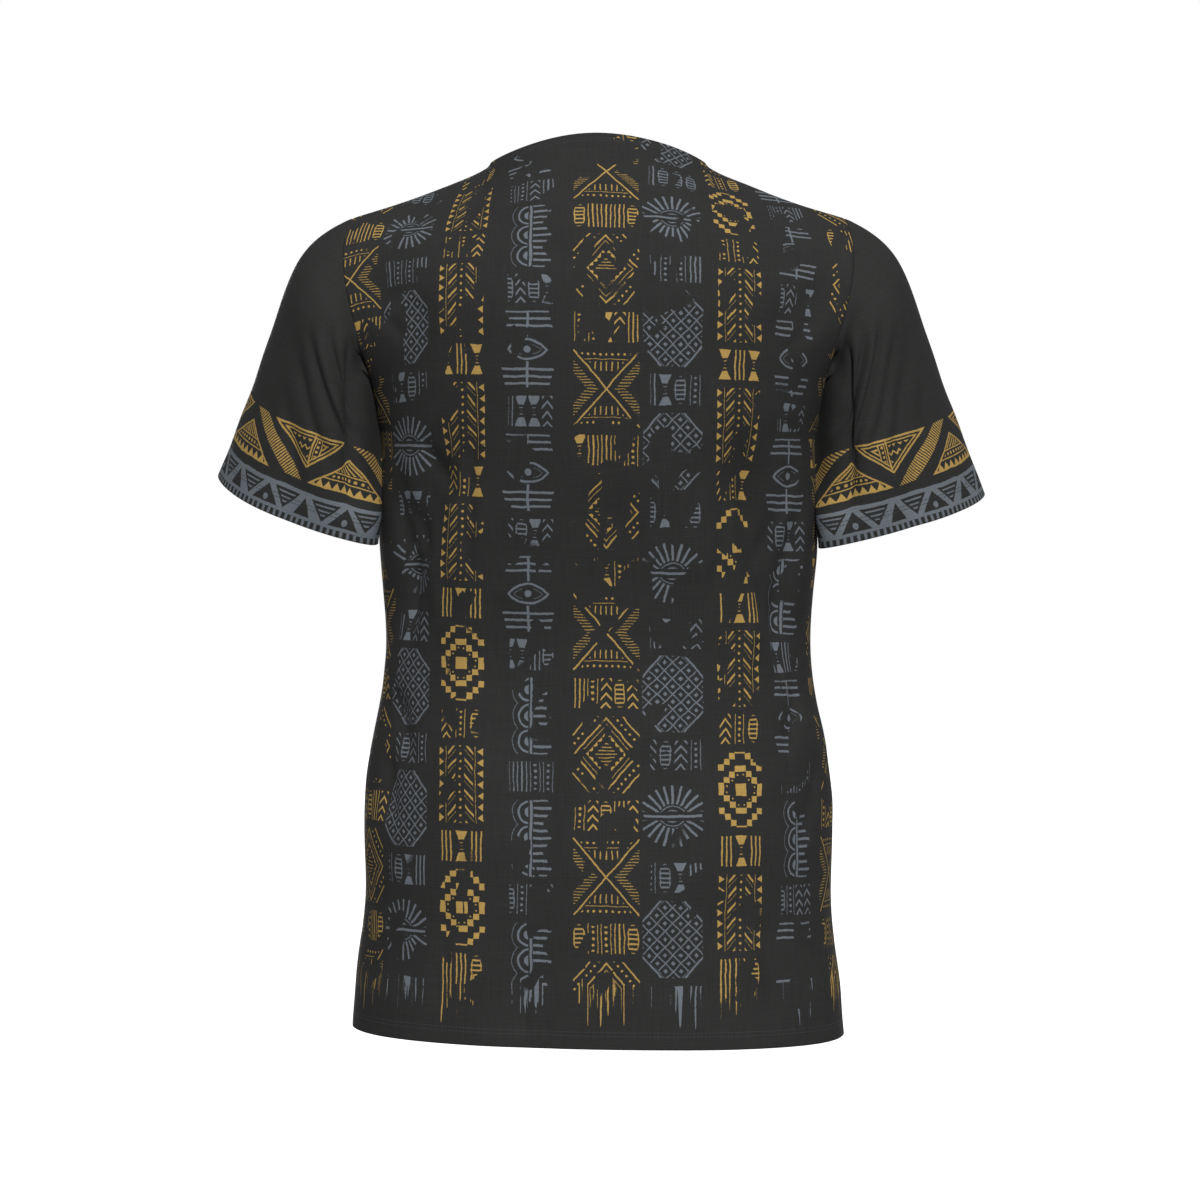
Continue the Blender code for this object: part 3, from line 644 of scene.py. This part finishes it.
def fromEdges(name, points):        # how far each point lies past the turning's depth, and its run
    rows, columns = points.shape[:2]
    across, up, edge = runAcross(points), runOf(points), turnedLines["edge"]
    index, column = np.mgrid[:rows, :columns]
    if name.startswith("sleeve"):
        return np.stack([np.abs(up - up[-1 - edge]) - cloth["cuffHem"], across], axis=-1)
    hem = np.abs(up - up[edge]) - cloth["bodyHem"]
    neck = np.abs(up - up[-1 - edge]) - cloth["neckTurning"]
    neck[np.abs(column - columns // 2) > grid["neck"] * fineSteps] = 1.0      # no thread on a seam
    fromSide = np.minimum(np.abs(across - across[:, [edge]]), np.abs(across - across[:, [-1 - edge]]))
    vent = fromSide - cloth["ventTurning"]
    vent[index > edge + grid["vent"] * fineSteps] = 1.0
    near = np.minimum(np.minimum(hem, neck), vent)
    return np.stack([near, np.where(near == vent, up, across)], axis=-1)


def makePiece(name, lines):
    points, normals, flat = lines
    piece = addGrid(name, points)
    setCorners(piece, "UVMap", flat)
    piece.data.uv_layers["UVMap"].name = "cut"
    setCorners(piece, "edges", fromEdges(name.replace("cloth_", ""), points))
    mesh = piece.data
    mesh.update()
    middle = points.shape[0] // 2 * (points.shape[1] - 1) + points.shape[1] // 2
    corners = mesh.polygons[middle].vertices
    facing = normals.reshape(-1, 3)[list(corners)].mean(axis=0)
    bpy.ops.object.mode_set(mode="EDIT")
    bpy.ops.mesh.select_all(action="SELECT")
    if np.dot(facing, mesh.polygons[middle].normal) < 0:
        bpy.ops.mesh.flip_normals()
    if name.startswith("sleeve"):
        bpy.ops.mesh.remove_doubles(threshold=0.00001)
    bpy.ops.object.mode_set(mode="OBJECT")
    bpy.ops.object.shade_smooth()
    return piece


finished = {name: (finishedSleeve if name.startswith("sleeve") else finishedPanel)(lines)
            for name, lines in pieceGrids.items()}
pieces = {name: makePiece("cloth_" + name, lines) for name, lines in finished.items()}

# The print and the weave are drawn by node maths, in millimetres on the flat cut. A shape is
# its distance, below 0 inside: least() joins shapes and most() keeps what they share.


class Field:                            # a node's output, so that nodes are written as sums
    tree = None

    def __init__(self, socket):
        self.socket = socket

    def __add__(self, other):
        return calc("ADD", self, other)

    def __sub__(self, other):
        return calc("SUBTRACT", self, other)

    def __mul__(self, other):
        return calc("MULTIPLY", self, other)

    def __truediv__(self, other):
        return calc("DIVIDE", self, other)

    def __abs__(self):
        return calc("ABSOLUTE", self)

    def __neg__(self):
        return calc("MULTIPLY", self, -1.0)

    __radd__ = __add__
    __rmul__ = __mul__

    def __rsub__(self, other):
        return calc("SUBTRACT", other, self)


def link(value, socket):
    if isinstance(value, Field):
        Field.tree.links.new(value.socket, socket)
    else:
        socket.default_value = value


def nodeOf(kind, inputs=(), output=0, **settings):      # inputs are sockets with their values
    node = Field.tree.nodes.new("ShaderNode" + kind)
    for name, value in settings.items():
        setattr(node, name, value)
    for socket, value in inputs:
        link(value, node.inputs[socket])
    return Field(node.outputs[output])


def calc(operation, *values):
    return nodeOf("Math", enumerate(values), operation=operation)


def least(value, *others):
    for other in others:
        value = calc("MINIMUM", value, other)
    return value


def most(value, *others):
    for other in others:
        value = calc("MAXIMUM", value, other)
    return value


def wrap(value, period):                # from minus to plus half a period, over and over
    return calc("WRAP", value, period / 2, -period / 2)


def lines(value, period, width):        # even bars, width wide
    return abs(wrap(value, period)) - width / 2


def ring(value, at, width):             # a bar along a shape's edge, or a way inside it
    return abs(value - at) - width / 2


def far(x, y):                          # distance from the middle
    return calc("POWER", x * x + y * y, 0.5)


def slope(x, y, a, b, c=0.0):           # a * x + b * y + c
    return calc("MULTIPLY_ADD", x, a, calc("MULTIPLY_ADD", y, b, c))


def side(x, y, start, end):             # distance to the right of a line from start to end
    run = math.hypot(end[0] - start[0], end[1] - start[1])
    a, b = (end[1] - start[1]) / run, -(end[0] - start[0]) / run
    return slope(x, y, a, b, -(a * start[0] + b * start[1]))


def lozenge(ax, ay, halfWidth, halfHeight):
    size = math.hypot(halfWidth, halfHeight)
    return slope(ax, ay, halfHeight / size, halfWidth / size, -halfWidth * halfHeight / size)


def pair(x, y, z=0.0):
    return nodeOf("CombineXYZ", enumerate((x, y, z)))


def randomAt(place):                    # a fixed random number for each whole place
    return nodeOf("TexWhiteNoise", [("Vector", place)], "Value", noise_dimensions="3D")


def noiseAt(place, scale, detail=2.0, roughness=0.5):
    inputs = [("Vector", place), ("Scale", scale), ("Detail", detail), ("Roughness", roughness)]
    return nodeOf("TexNoise", inputs, "Fac", noise_dimensions="3D")


def inked(distance, soft):              # 1 inside a shape and 0 outside
    return nodeOf("MapRange", [("Value", distance), ("From Min", soft), ("From Max", -soft)], "Result")


def switch(chosen, first, second):      # the first where chosen is 1, else the second
    return nodeOf("Mix", [(0, chosen), (2, second), (3, first)], data_type="FLOAT")


def mixColour(factor, first, second, blend="MIX"):
    first, second = [value if isinstance(value, Field) else (*value, 1.0) for value in (first, second)]
    inputs = [(0, factor), (6, first), (7, second)]
    return nodeOf("Mix", inputs, 2, data_type="RGBA", blend_type=blend)


def placeOn(layer):                     # a UV map's two values, in millimetres
    place = nodeOf("UVMap", uv_map=layer)
    return [nodeOf("SeparateXYZ", [(0, place)], axis) * 1000.0 for axis in (0, 1)]


# Body print: upright strips of gold and slate, each with its own motifs one above the other

bodyPrint = {
    "period": 214.0, "hemPlain": 15.0, "dripTop": 48.0, "bleed": 0.22,
    "stripA": {"centre": -6.0, "half": 25.0, "pitch": 92.0, "start": 36.0},     # gold
    "stripB": {"centre": 53.0, "half": 20.0, "pitch": 92.0, "start": 64.0},     # slate
    "stripC": {"centre": 105.0, "half": 18.5, "pitch": 92.0, "start": 10.0},    # gold
    "stripD": {"centre": 158.0, "half": 23.0, "pitch": 92.0, "start": 82.0},    # slate
    "brokenAt": 385.0, "brokenHalf": 85.0, "motifHalf": 29.0, "rowHalf": 11.5, "cell": 11.0,
    "sway": 3.2, "drip": 90.0, "dripSway": 26.0, "wornFrom": 0.79, "wornPatches": 2.0, "wornBand": 0.36,
}


def nestedLozenges(x, y, ax, ay, half, high):       # lozenge in lozenge, hatched core, dotted corners
    edge = lozenge(ax, ay, half, high)
    size = math.hypot(half, high)
    along = slope(ax, ay, half / size, -high / size)
    core = most(edge + 12.6, lines(y, 2.6, 1.2))
    teeth = most(ring(edge, -8.6, 2.4), 1.1 * abs(wrap(along, 4.8)) - edge - 10.6)
    dots = far(edge - 4.4, wrap(along, 4.6)) - 1.15
    return least(ring(edge, -0.9, 1.7), ring(edge, -4.1, 1.0), core, teeth, dots, ring(edge, 9.2, 1.6))


def hourglass(x, y, ax, ay, half, high):            # two triangles tip to tip, hatched bars beside them
    size = math.hypot(half, high)
    edge = slope(ax, ay, high / size, -half / size, -1.0)
    inner = most(edge + 3.6, lines(x, 4.2, 1.4), abs(ay - 16.5) - 3.6)
    dots = most(far(wrap(x, 4.6), ay - 25.6) - 1.2, edge + 3.4)
    bar = most(ring(edge, 7.0, 6.6), lines(y, 2.2, 1.05))
    return least(ring(edge, -1.0, 1.7), inner, dots, bar, most(edge + 2.5, ring(ay, 21.8, 1.0)))


def ribsAndArches(x, y, ax, ay, half, high):        # rungs on one side of a stem, arches on the other
    stem = abs(x + 2.0) - 1.3
    rungs = most(lines(y, 5.7, 2.5), x + 3.5, 0.6 * abs(wrap(y, 22.8)) - x - half + 2.0)
    away = far(x + 0.5, wrap(y, 19.3))
    arches = most(least(ring(away, 8.3, 2.1), away - 4.2, ring(away, 13.0, 1.0)), -x)
    return least(stem, rungs, arches)


def barsAndEye(x, y, ax, ay, half, high):           # an eye between stacks of bars
    lens = far(x, ay + 11.0) - 19.5
    eye = least(ring(lens, -1.1, 2.2), far(x, y) - 3.0, most(ring(lens, -4.0, 0.9), 4.0 - ax))
    stack = most(lines(y - 1.4, 5.4, 2.3), 13.4 - ay, 0.225 * wrap(ay - 14.0, 100.0) + ax - half)
    return least(eye, stack, most(ax - 1.2, 9.0 - ay))


def stackedChevrons(x, y, ax, ay, half, high):      # chevrons beside a column of dots, saw-toothed edges
    rise = slope(ax, y, 1.1, 1.0)
    chevrons = least(lines(rise, 11.6, 2.7), lines(rise + 4.4, 11.6, 0.9))
    chevrons = most(chevrons, 3.6 - ax, ax - half + 7.6)
    dots = far(x, wrap(y, 5.8)) - 1.25
    teeth = slope(ax, abs(wrap(y, 8.3)), -1.0, 1.5, half - 4.8)
    return least(chevrons, dots, teeth, ring(ax, half - 6.2, 0.9))


def steppedLozenges(x, y, ax, ay, half, high):      # stairs round a chequered middle
    stairs = calc("SNAP", ax, 4.6) + calc("SNAP", ay, 4.6)
    bands = most(lines(stairs, 13.8, 4.7), stairs - 29.0)
    beads = far(wrap(x + 2.3, 4.6), wrap(y + 2.3, 4.6)) - 0.9
    beads = most(beads, lines(stairs + 4.6, 13.8, 4.7), stairs - 22.0)
    return least(bands, beads)


def latticeNet(x, y, ax, ay, half, high):           # a slanting net with a lozenge in each mesh
    first, second = slope(x, y, 0.707, 0.707), slope(x, y, 0.707, -0.707)
    net = least(lines(first, 8.4, 1.5), lines(second, 8.4, 1.5))
    seeds = most(abs(wrap(first + 4.2, 8.4)), abs(wrap(second + 4.2, 8.4))) - 1.5
    inside = slope(ax, ay, 0.75, 0.66, -24.5)
    return least(most(least(net, seeds), inside), ring(inside, 1.2, 1.9))


def raysAndRings(x, y, ax, ay, half, high):         # half suns back to back
    away = far(x, ay + 3.0)
    turn = calc("ARCTAN2", x, ay + 3.0)
    rays = most(abs(wrap(turn, 0.262)) * away - 1.15, 12.0 - away, away - 26.5, -ay + 3.0)
    sun = least(most(away - 8.0, 3.4 - ay), most(ring(away, 10.6, 1.3), 3.0 - ay))
    return least(rays, sun, most(ay - 1.2, ax - half + 1.0))


def smallFigures(x, y, column, row, salt):          # a row of small figures, one picked for each place
    cell, width = column["cell"], column["half"]
    gx = wrap(x, cell)
    gax, gay = abs(gx), abs(y)
    pick = randomAt(pair(calc("SNAP", x + cell / 2, cell), row, salt)) * 5.0
    oval = most((far(gx * 2.3, y) - 11.0) * 0.6, least(lines(y, 3.5, 1.8), ring(gax, 3.6, 1.4)))
    glass = most(least(slope(gax, gay, 0.92, -0.38, -0.4)), least(5.0 - gay, lines(y, 2.6, 1.2)))
    bars = most(lines(gx, 3.6, 1.7), gax - cell / 2 + 0.9)
    beads = least(most(far(gx, wrap(y, 4.6)) - 1.4, gay - 9.8), ring(gax, 3.6, 1.1))
    arrow = most(lines(slope(gax, y, 1.2, 1.0), 7.2, 2.5), gax - cell / 2 + 0.8)
    figures = [oval, glass, bars, beads, arrow]
    found = figures[-1]
    for number, figure in enumerate(figures[:-1]):
        found = switch(calc("COMPARE", pick, number + 0.5, 0.5), figure, found)
    return most(found, gax - cell / 2 + 0.6, abs(x) - width)


def strip(u, v, own, kinds, salt):                  # one upright strip, with its motifs and rows
    half, high, rowHalf = own["half"], bodyPrint["motifHalf"], bodyPrint["rowHalf"]
    x = wrap(u - own["centre"], bodyPrint["period"])
    rise = v - own["start"]
    y = wrap(rise, own["pitch"])
    floor = calc("SNAP", rise + own["pitch"] / 2, own["pitch"])
    repeat = calc("SNAP", u - own["centre"] + bodyPrint["period"] / 2, bodyPrint["period"])
    turn = randomAt(pair(repeat, floor, salt))
    ax, ay = abs(x), abs(y)
    first, second = [kind(x, y, ax, ay, half, high) for kind in kinds]
    motif = most(switch(calc("GREATER_THAN", turn, 0.5), first, second), ax - half, ay - high)
    between = wrap(rise - own["pitch"] / 2, own["pitch"])
    cells = round(2 * half / bodyPrint["cell"])
    column = {"cell": 2 * half / cells, "half": half}
    shift = column["cell"] / 2 if cells % 2 == 0 else 0.0
    figures = smallFigures(x + shift, between, column, calc("SNAP", rise, own["pitch"]), salt)
    figures = most(figures, abs(between) - rowHalf, ax - half)
    return least(motif, figures)


def bodyInks(u, v):                     # distances to the gold and the slate print
    place = pair(u, v)
    sway = noiseAt(place, 0.05, 3.0, 0.62)
    swayAcross = noiseAt(pair(v, u, 40.0), 0.06, 3.0, 0.62)
    run = pair(u * 0.35, 7.0)
    drip = calc("POWER", noiseAt(run, 1.0, 1.0), 1.6) * bodyPrint["drip"]
    u = u + (swayAcross - 0.5) * bodyPrint["sway"]
    hem = bodyPrint["hemPlain"]
    plain = most(hem - v, (hem + bodyPrint["dripTop"] - drip) - v)
    dripFrom = bodyPrint["dripTop"] + (noiseAt(run, 0.4, 0.0) - 0.5) * bodyPrint["dripSway"]
    v = most(v + (sway - 0.5) * bodyPrint["sway"], dripFrom)
    gold = least(strip(u, v, bodyPrint["stripA"], (nestedLozenges, hourglass), 1.0),
                 strip(u, v, bodyPrint["stripC"], (stackedChevrons, steppedLozenges), 3.0))
    slate = least(strip(u, v, bodyPrint["stripB"], (ribsAndArches, barsAndEye), 2.0),
                  strip(u, v, bodyPrint["stripD"], (latticeNet, raysAndRings), 4.0))
    return gold, slate, plain


def wornAway(u, v):                     # where the print is broken into shards
    rough = noiseAt(pair(u, v, 3.0), 0.16, 2.0, 0.6) * 9.0
    inputs = [("Vector", pair(u * 0.075 + rough * 0.03, v * 0.052 + u * 0.03)), ("Scale", 1.0)]
    shards = nodeOf("TexVoronoi", inputs, "Color", voronoi_dimensions="2D", distance="MANHATTAN")
    pick = nodeOf("SeparateColor", [(0, shards)])
    broad = noiseAt(pair(u * 0.5, v, 9.0), 0.011, 1.0)
    reach = bodyPrint["brokenHalf"] / 2
    band = inked(abs(v - bodyPrint["brokenAt"]) - reach, reach)
    patches = pick - bodyPrint["wornFrom"] + (broad - 0.5) * bodyPrint["wornPatches"]
    return (patches + band * bodyPrint["wornBand"]) * 20.0


# Sleeve border: a comb at the cuff, a slate band of triangles, then a gold row

border = {      # heights above the cuff and lengths along it
    "comb": 5.4, "combGap": 2.3, "combTop": 5.0, "bandTop": 26.5, "bandPeriod": 72.0, "goldPeriod": 112.0,
    "goldLow": 34.0, "goldHigh": 72.0, "shift": 8.0, "bleed": 0.2, "sway": 2.4,
    "striped": ((0.0, 8.2), (12.5, 23.2), (-12.5, 23.2)), "stripes": 3.5,
    "wide": ((-12.5, 7.6), (12.5, 7.6), (0.0, 22.6)), "slim": ((-7.5, 7.6), (7.5, 7.6), (0.0, 22.0)),
    "hanging": ((-38.0, 72.0), (6.5, 44.5), (39.0, 72.0)), "spine": 7.0,
    "standing": ((11.0, 34.0), (84.0, 34.0), (48.0, 61.0)), "bar": ((-55.0, 72.0), (-4.0, 34.0)),
}


def triangle(x, y, first, second, third):           # corners in turn, against the clock
    return most(side(x, y, first, second), side(x, y, second, third), side(x, y, third, first))


def sleeveInks(u, v):
    place = pair(u, v)
    u = u + (noiseAt(pair(v, u, 40.0), 0.06, 3.0, 0.62) - 0.5) * border["sway"] + border["shift"]
    v = v + (noiseAt(place, 0.05, 3.0, 0.62) - 0.5) * border["sway"]
    combTop, bandTop, period = border["combTop"], border["bandTop"], border["bandPeriod"]
    comb = most(lines(u, border["comb"], border["combGap"]), v - combTop, -3.0 - v)
    striped = triangle(abs(wrap(u, period / 2)), v, *border["striped"])
    stripes = most(striped + 1.7, lines(v - 9.9, border["stripes"], 1.3), 11.5 - v)
    x = wrap(u - period / 4, period)
    drop = far(x, (v - 11.6) * 0.85) - 2.2
    wide = most(triangle(x, v, *border["wide"]), -drop)
    slim = triangle(wrap(u + period / 4, period), v, *border["slim"])
    dark = least(most(striped, -stripes), wide, slim)
    band = most(abs(v - (combTop + bandTop) / 2) - (bandTop - combTop) / 2, -dark)
    slate = least(comb, band)

    period = border["goldPeriod"]
    x = wrap(u, period)                             # the hanging triangle
    down, spine = triangle(x, v, *border["hanging"]), border["spine"]
    off = x - spine
    dots = most(far(off - 5.0, wrap(v, 3.9)) - 1.05, down + 4.0)
    zigzag = most(abs(wrap(v + abs(wrap(x, 6.4)) * 0.9, 6.8)) - 0.85, off + 1.6, down + 5.6)
    nest = most(lines(down, 3.3, 1.2), 8.6 - off, down + 3.0)
    stems = most(least(ring(off, 8.0, 0.9), ring(off, 2.6, 0.8)), down + 3.4)
    hanging = least(ring(down, -0.8, 1.5), ring(down, -3.4, 1.0), most(abs(off) - 0.8, down + 2.0),
                    dots, zigzag, nest, stems)
    x = wrap(u - 48.0, period) + 48.0               # the standing triangle
    up = triangle(x, v, *border["standing"])
    teeth = most(slope(abs(wrap(x, 7.4)), v, 1.6, 1.0, -40.6), 35.2 - v)
    beads = most(far(wrap(x, 4.6), v - 45.4) - 1.2, up + 3.0)
    fan = most(lines(side(x, v, *border["standing"][1:]), 2.7, 1.2), 49.6 - v, up + 2.2)
    standing = least(ring(up, -0.7, 1.4), most(teeth, up + 1.0), most(ring(v, 42.4, 0.9), up + 1.0),
                     beads, most(ring(v, 48.4, 0.9), up + 1.0), fan)
    x = wrap(u + 30.0, period) - 30.0               # the hatched bar
    start, finishAt = border["bar"]
    across = side(x, v, start, finishAt)
    length = math.hypot(finishAt[0] - start[0], finishAt[1] - start[1])
    along = slope(x, v, (finishAt[0] - start[0]) / length, (finishAt[1] - start[1]) / length)
    bar = most(ring(across, 0.0, 10.0), lines(along, 2.2, 1.15))
    bar = most(bar, v - border["goldHigh"], border["goldLow"] - v)
    return least(hanging, standing, bar), slate


# Cloth: matt printed cotton. Colours are linear, as seen on the photo's flat light.

finish = {
    "ground": (0.0212, 0.0212, 0.0208), "reverse": (0.0250, 0.0250, 0.0248),
    "gold": (0.325, 0.212, 0.063), "slate": (0.108, 0.122, 0.138), "thread": (0.034, 0.034, 0.035),
    "roughness": 0.9, "specular": 0.04, "sheen": 0.01, "bump": 0.25, "bumpHeight": 0.0004,
    "threads": 0.42, "threadPitch": (1.15, 0.035), "clouds": 0.22, "cover": 0.97, "rub": 0.9,
    "thin": {"body": 0.29, "sleeve": 0.0},      # how much finer the strokes print than they are drawn
    "stitchRows": (-1.6, -4.4), "stitch": (3.0, 2.2), "stitchWidth": 0.5, "stitchHeight": 1.2,
}


def stitchesAt(past, run):              # rows of thread, by the distance past a turning's raw edge
    rows = least(*[abs(past - place) for place in finish["stitchRows"]]) - finish["stitchWidth"] / 2
    pitch, length = finish["stitch"]
    return inked(most(rows, abs(wrap(run, pitch)) - length / 2), 0.12)


def clothMaterial(name, kind):
    material = bpy.data.materials.new(name)
    material.use_nodes = True
    Field.tree = material.node_tree
    u, v = placeOn("cut")
    fine, along = finish["threadPitch"]
    upright = noiseAt(pair(u * fine, v * along, 1.0), 1.0)
    level = noiseAt(pair(u * along, v * fine, 5.0), 1.0)
    cloudy = noiseAt(pair(u, v, 2.0), 0.02)
    shade = 1.0 + (upright - 0.5) * finish["threads"] + (level - 0.5) * finish["threads"]
    shade = shade + (cloudy - 0.5) * finish["clouds"]
    colour = finish["reverse" if kind == "reverse" else "ground"]
    if kind != "reverse":
        if kind == "body":
            gold, slate, plain = bodyInks(u, v)
            worn = wornAway(u, v)
            gold, slate = most(gold, worn, plain), most(slate, worn, plain)
        else:
            gold, slate = sleeveInks(u, v)
        bleed = (bodyPrint if kind == "body" else border)["bleed"]
        rub = (noiseAt(pair(u, v, 6.0), 0.9, 2.0, 0.7) - 0.5) * finish["rub"] + finish["thin"][kind]
        colour = mixColour(inked(slate + rub, bleed) * finish["cover"], colour, finish["slate"])
        colour = mixColour(inked(gold + rub, bleed) * finish["cover"], colour, finish["gold"])
    stitches = stitchesAt(*placeOn("edges"))
    colour = mixColour(stitches, colour, finish["thread"])
    colour = mixColour(1.0, colour, pair(shade, shade, shade), "MULTIPLY")
    height = upright + level + stitches * finish["stitchHeight"]
    inputs = [("Strength", finish["bump"]), ("Distance", finish["bumpHeight"]), ("Height", height)]
    surface = {
        "Base Color": colour, "Normal": nodeOf("Bump", inputs), "Roughness": finish["roughness"],
        "Specular IOR Level": finish["specular"], "Sheen Weight": finish["sheen"],
    }
    for socket, value in surface.items():
        link(value, material.node_tree.nodes["Principled BSDF"].inputs[socket])
    return material


materials = {kind: clothMaterial(kind + "_print" if kind != "reverse" else "cloth_reverse", kind)
             for kind in ("body", "sleeve", "reverse")}
for name, piece in pieces.items():
    kind = "sleeve" if name.startswith("sleeve") else "body"
    piece.data.materials.clear()
    piece.data.materials.append(materials[kind])
    piece.data.materials.append(materials["reverse"])
    points = finished[name][0]
    size = runAcross(points)[:, -1].max(), runOf(points)[-1].max()
    piece.location = (0, 0, 0)
    wall = piece.modifiers.new("wall", "SOLIDIFY")
    wall.thickness = cloth["thickness"]
    wall.offset = 0.0
    wall.material_offset = 1        # the inner side is the cloth's plain reverse
    applyModifiers(piece)
    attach(piece, "root")
    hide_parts(name)
    "sleeve_cloth" if kind == "sleeve" else "body_cloth"
print("cloth finished:", sorted(pieces))

# Floor, light and camera

studio = {      # a white backdrop and a dim dome, lighter overhead
    "floorHeight": -3.2, "floorSize": 120.0,    # so low that no shadow of the shirt shows on it
    "around": 0.18, "overhead": 0.72,
    "lights": {     # strength, softness, height and turn in degrees: one by the camera, one for the front
        "key": (3.75, 13.0, 31.0, -9.0), "fill": (2.6, 25.0, 10.0, 172.0),
    },
}
white = (1, 1, 1, 1)
deselectAll()
bpy.ops.mesh.primitive_plane_add(size=studio["floorSize"], location=(0, 0, studio["floorHeight"]))
floor = bpy.context.active_object
floor.name = "floor"
floorFinish = bpy.data.materials.new("floorFinish")
floorFinish.use_nodes = True
floorShader = floorFinish.node_tree.nodes["Principled BSDF"]
floorShader.inputs["Base Color"].default_value = white
floorShader.inputs["Roughness"].default_value = 1.0
floor.data.materials.append(floorFinish)
floor.visible_diffuse = False      # so that no white light comes from below

world = bpy.data.worlds.new("studio")
bpy.context.scene.world = world
world.use_nodes = True
world.node_tree.nodes.remove(world.node_tree.nodes["Background"])
Field.tree = world.node_tree
height = nodeOf("SeparateXYZ", [(0, nodeOf("TexCoord"))], "Z")
inputs = [("Value", height), ("To Min", studio["around"]), ("To Max", studio["overhead"])]
dome = nodeOf("Background", [("Color", white), ("Strength", nodeOf("MapRange", inputs))])
seen = nodeOf("Background", [("Color", white), ("Strength", 1.0)])
surface = nodeOf("MixShader", [(0, nodeOf("LightPath", output="Is Camera Ray")), (1, dome), (2, seen)])
link(surface, world.node_tree.nodes["World Output"].inputs["Surface"])
bpy.context.scene.view_settings.view_transform = "Standard"

for name, (strength, softness, height, turn) in studio["lights"].items():
    deselectAll()
    bpy.ops.object.light_add(type="SUN", location=(0, 0, 2.0))
    lamp = bpy.context.active_object
    lamp.name = name
    lamp.data.energy = strength
    lamp.data.angle = math.radians(softness)
    lamp.rotation_euler = (math.radians(height - 90), 0, math.radians(-turn))

cameraShot = {"distance": 2.6, "height": -0.341, "lens": 99.5, "shift": 1.7 / 1200}
deselectAll()
bpy.ops.object.camera_add(location=(0, cameraShot["distance"], cameraShot["height"]),
                          rotation=(math.pi / 2, 0, math.pi))
camera = bpy.context.active_object
camera.data.lens = cameraShot["lens"]
camera.data.shift_x = cameraShot["shift"]
camera.data.clip_end = 100
bpy.context.scene.camera = camera
print("studio ready, camera", cameraShot["distance"], "m behind the shirt")
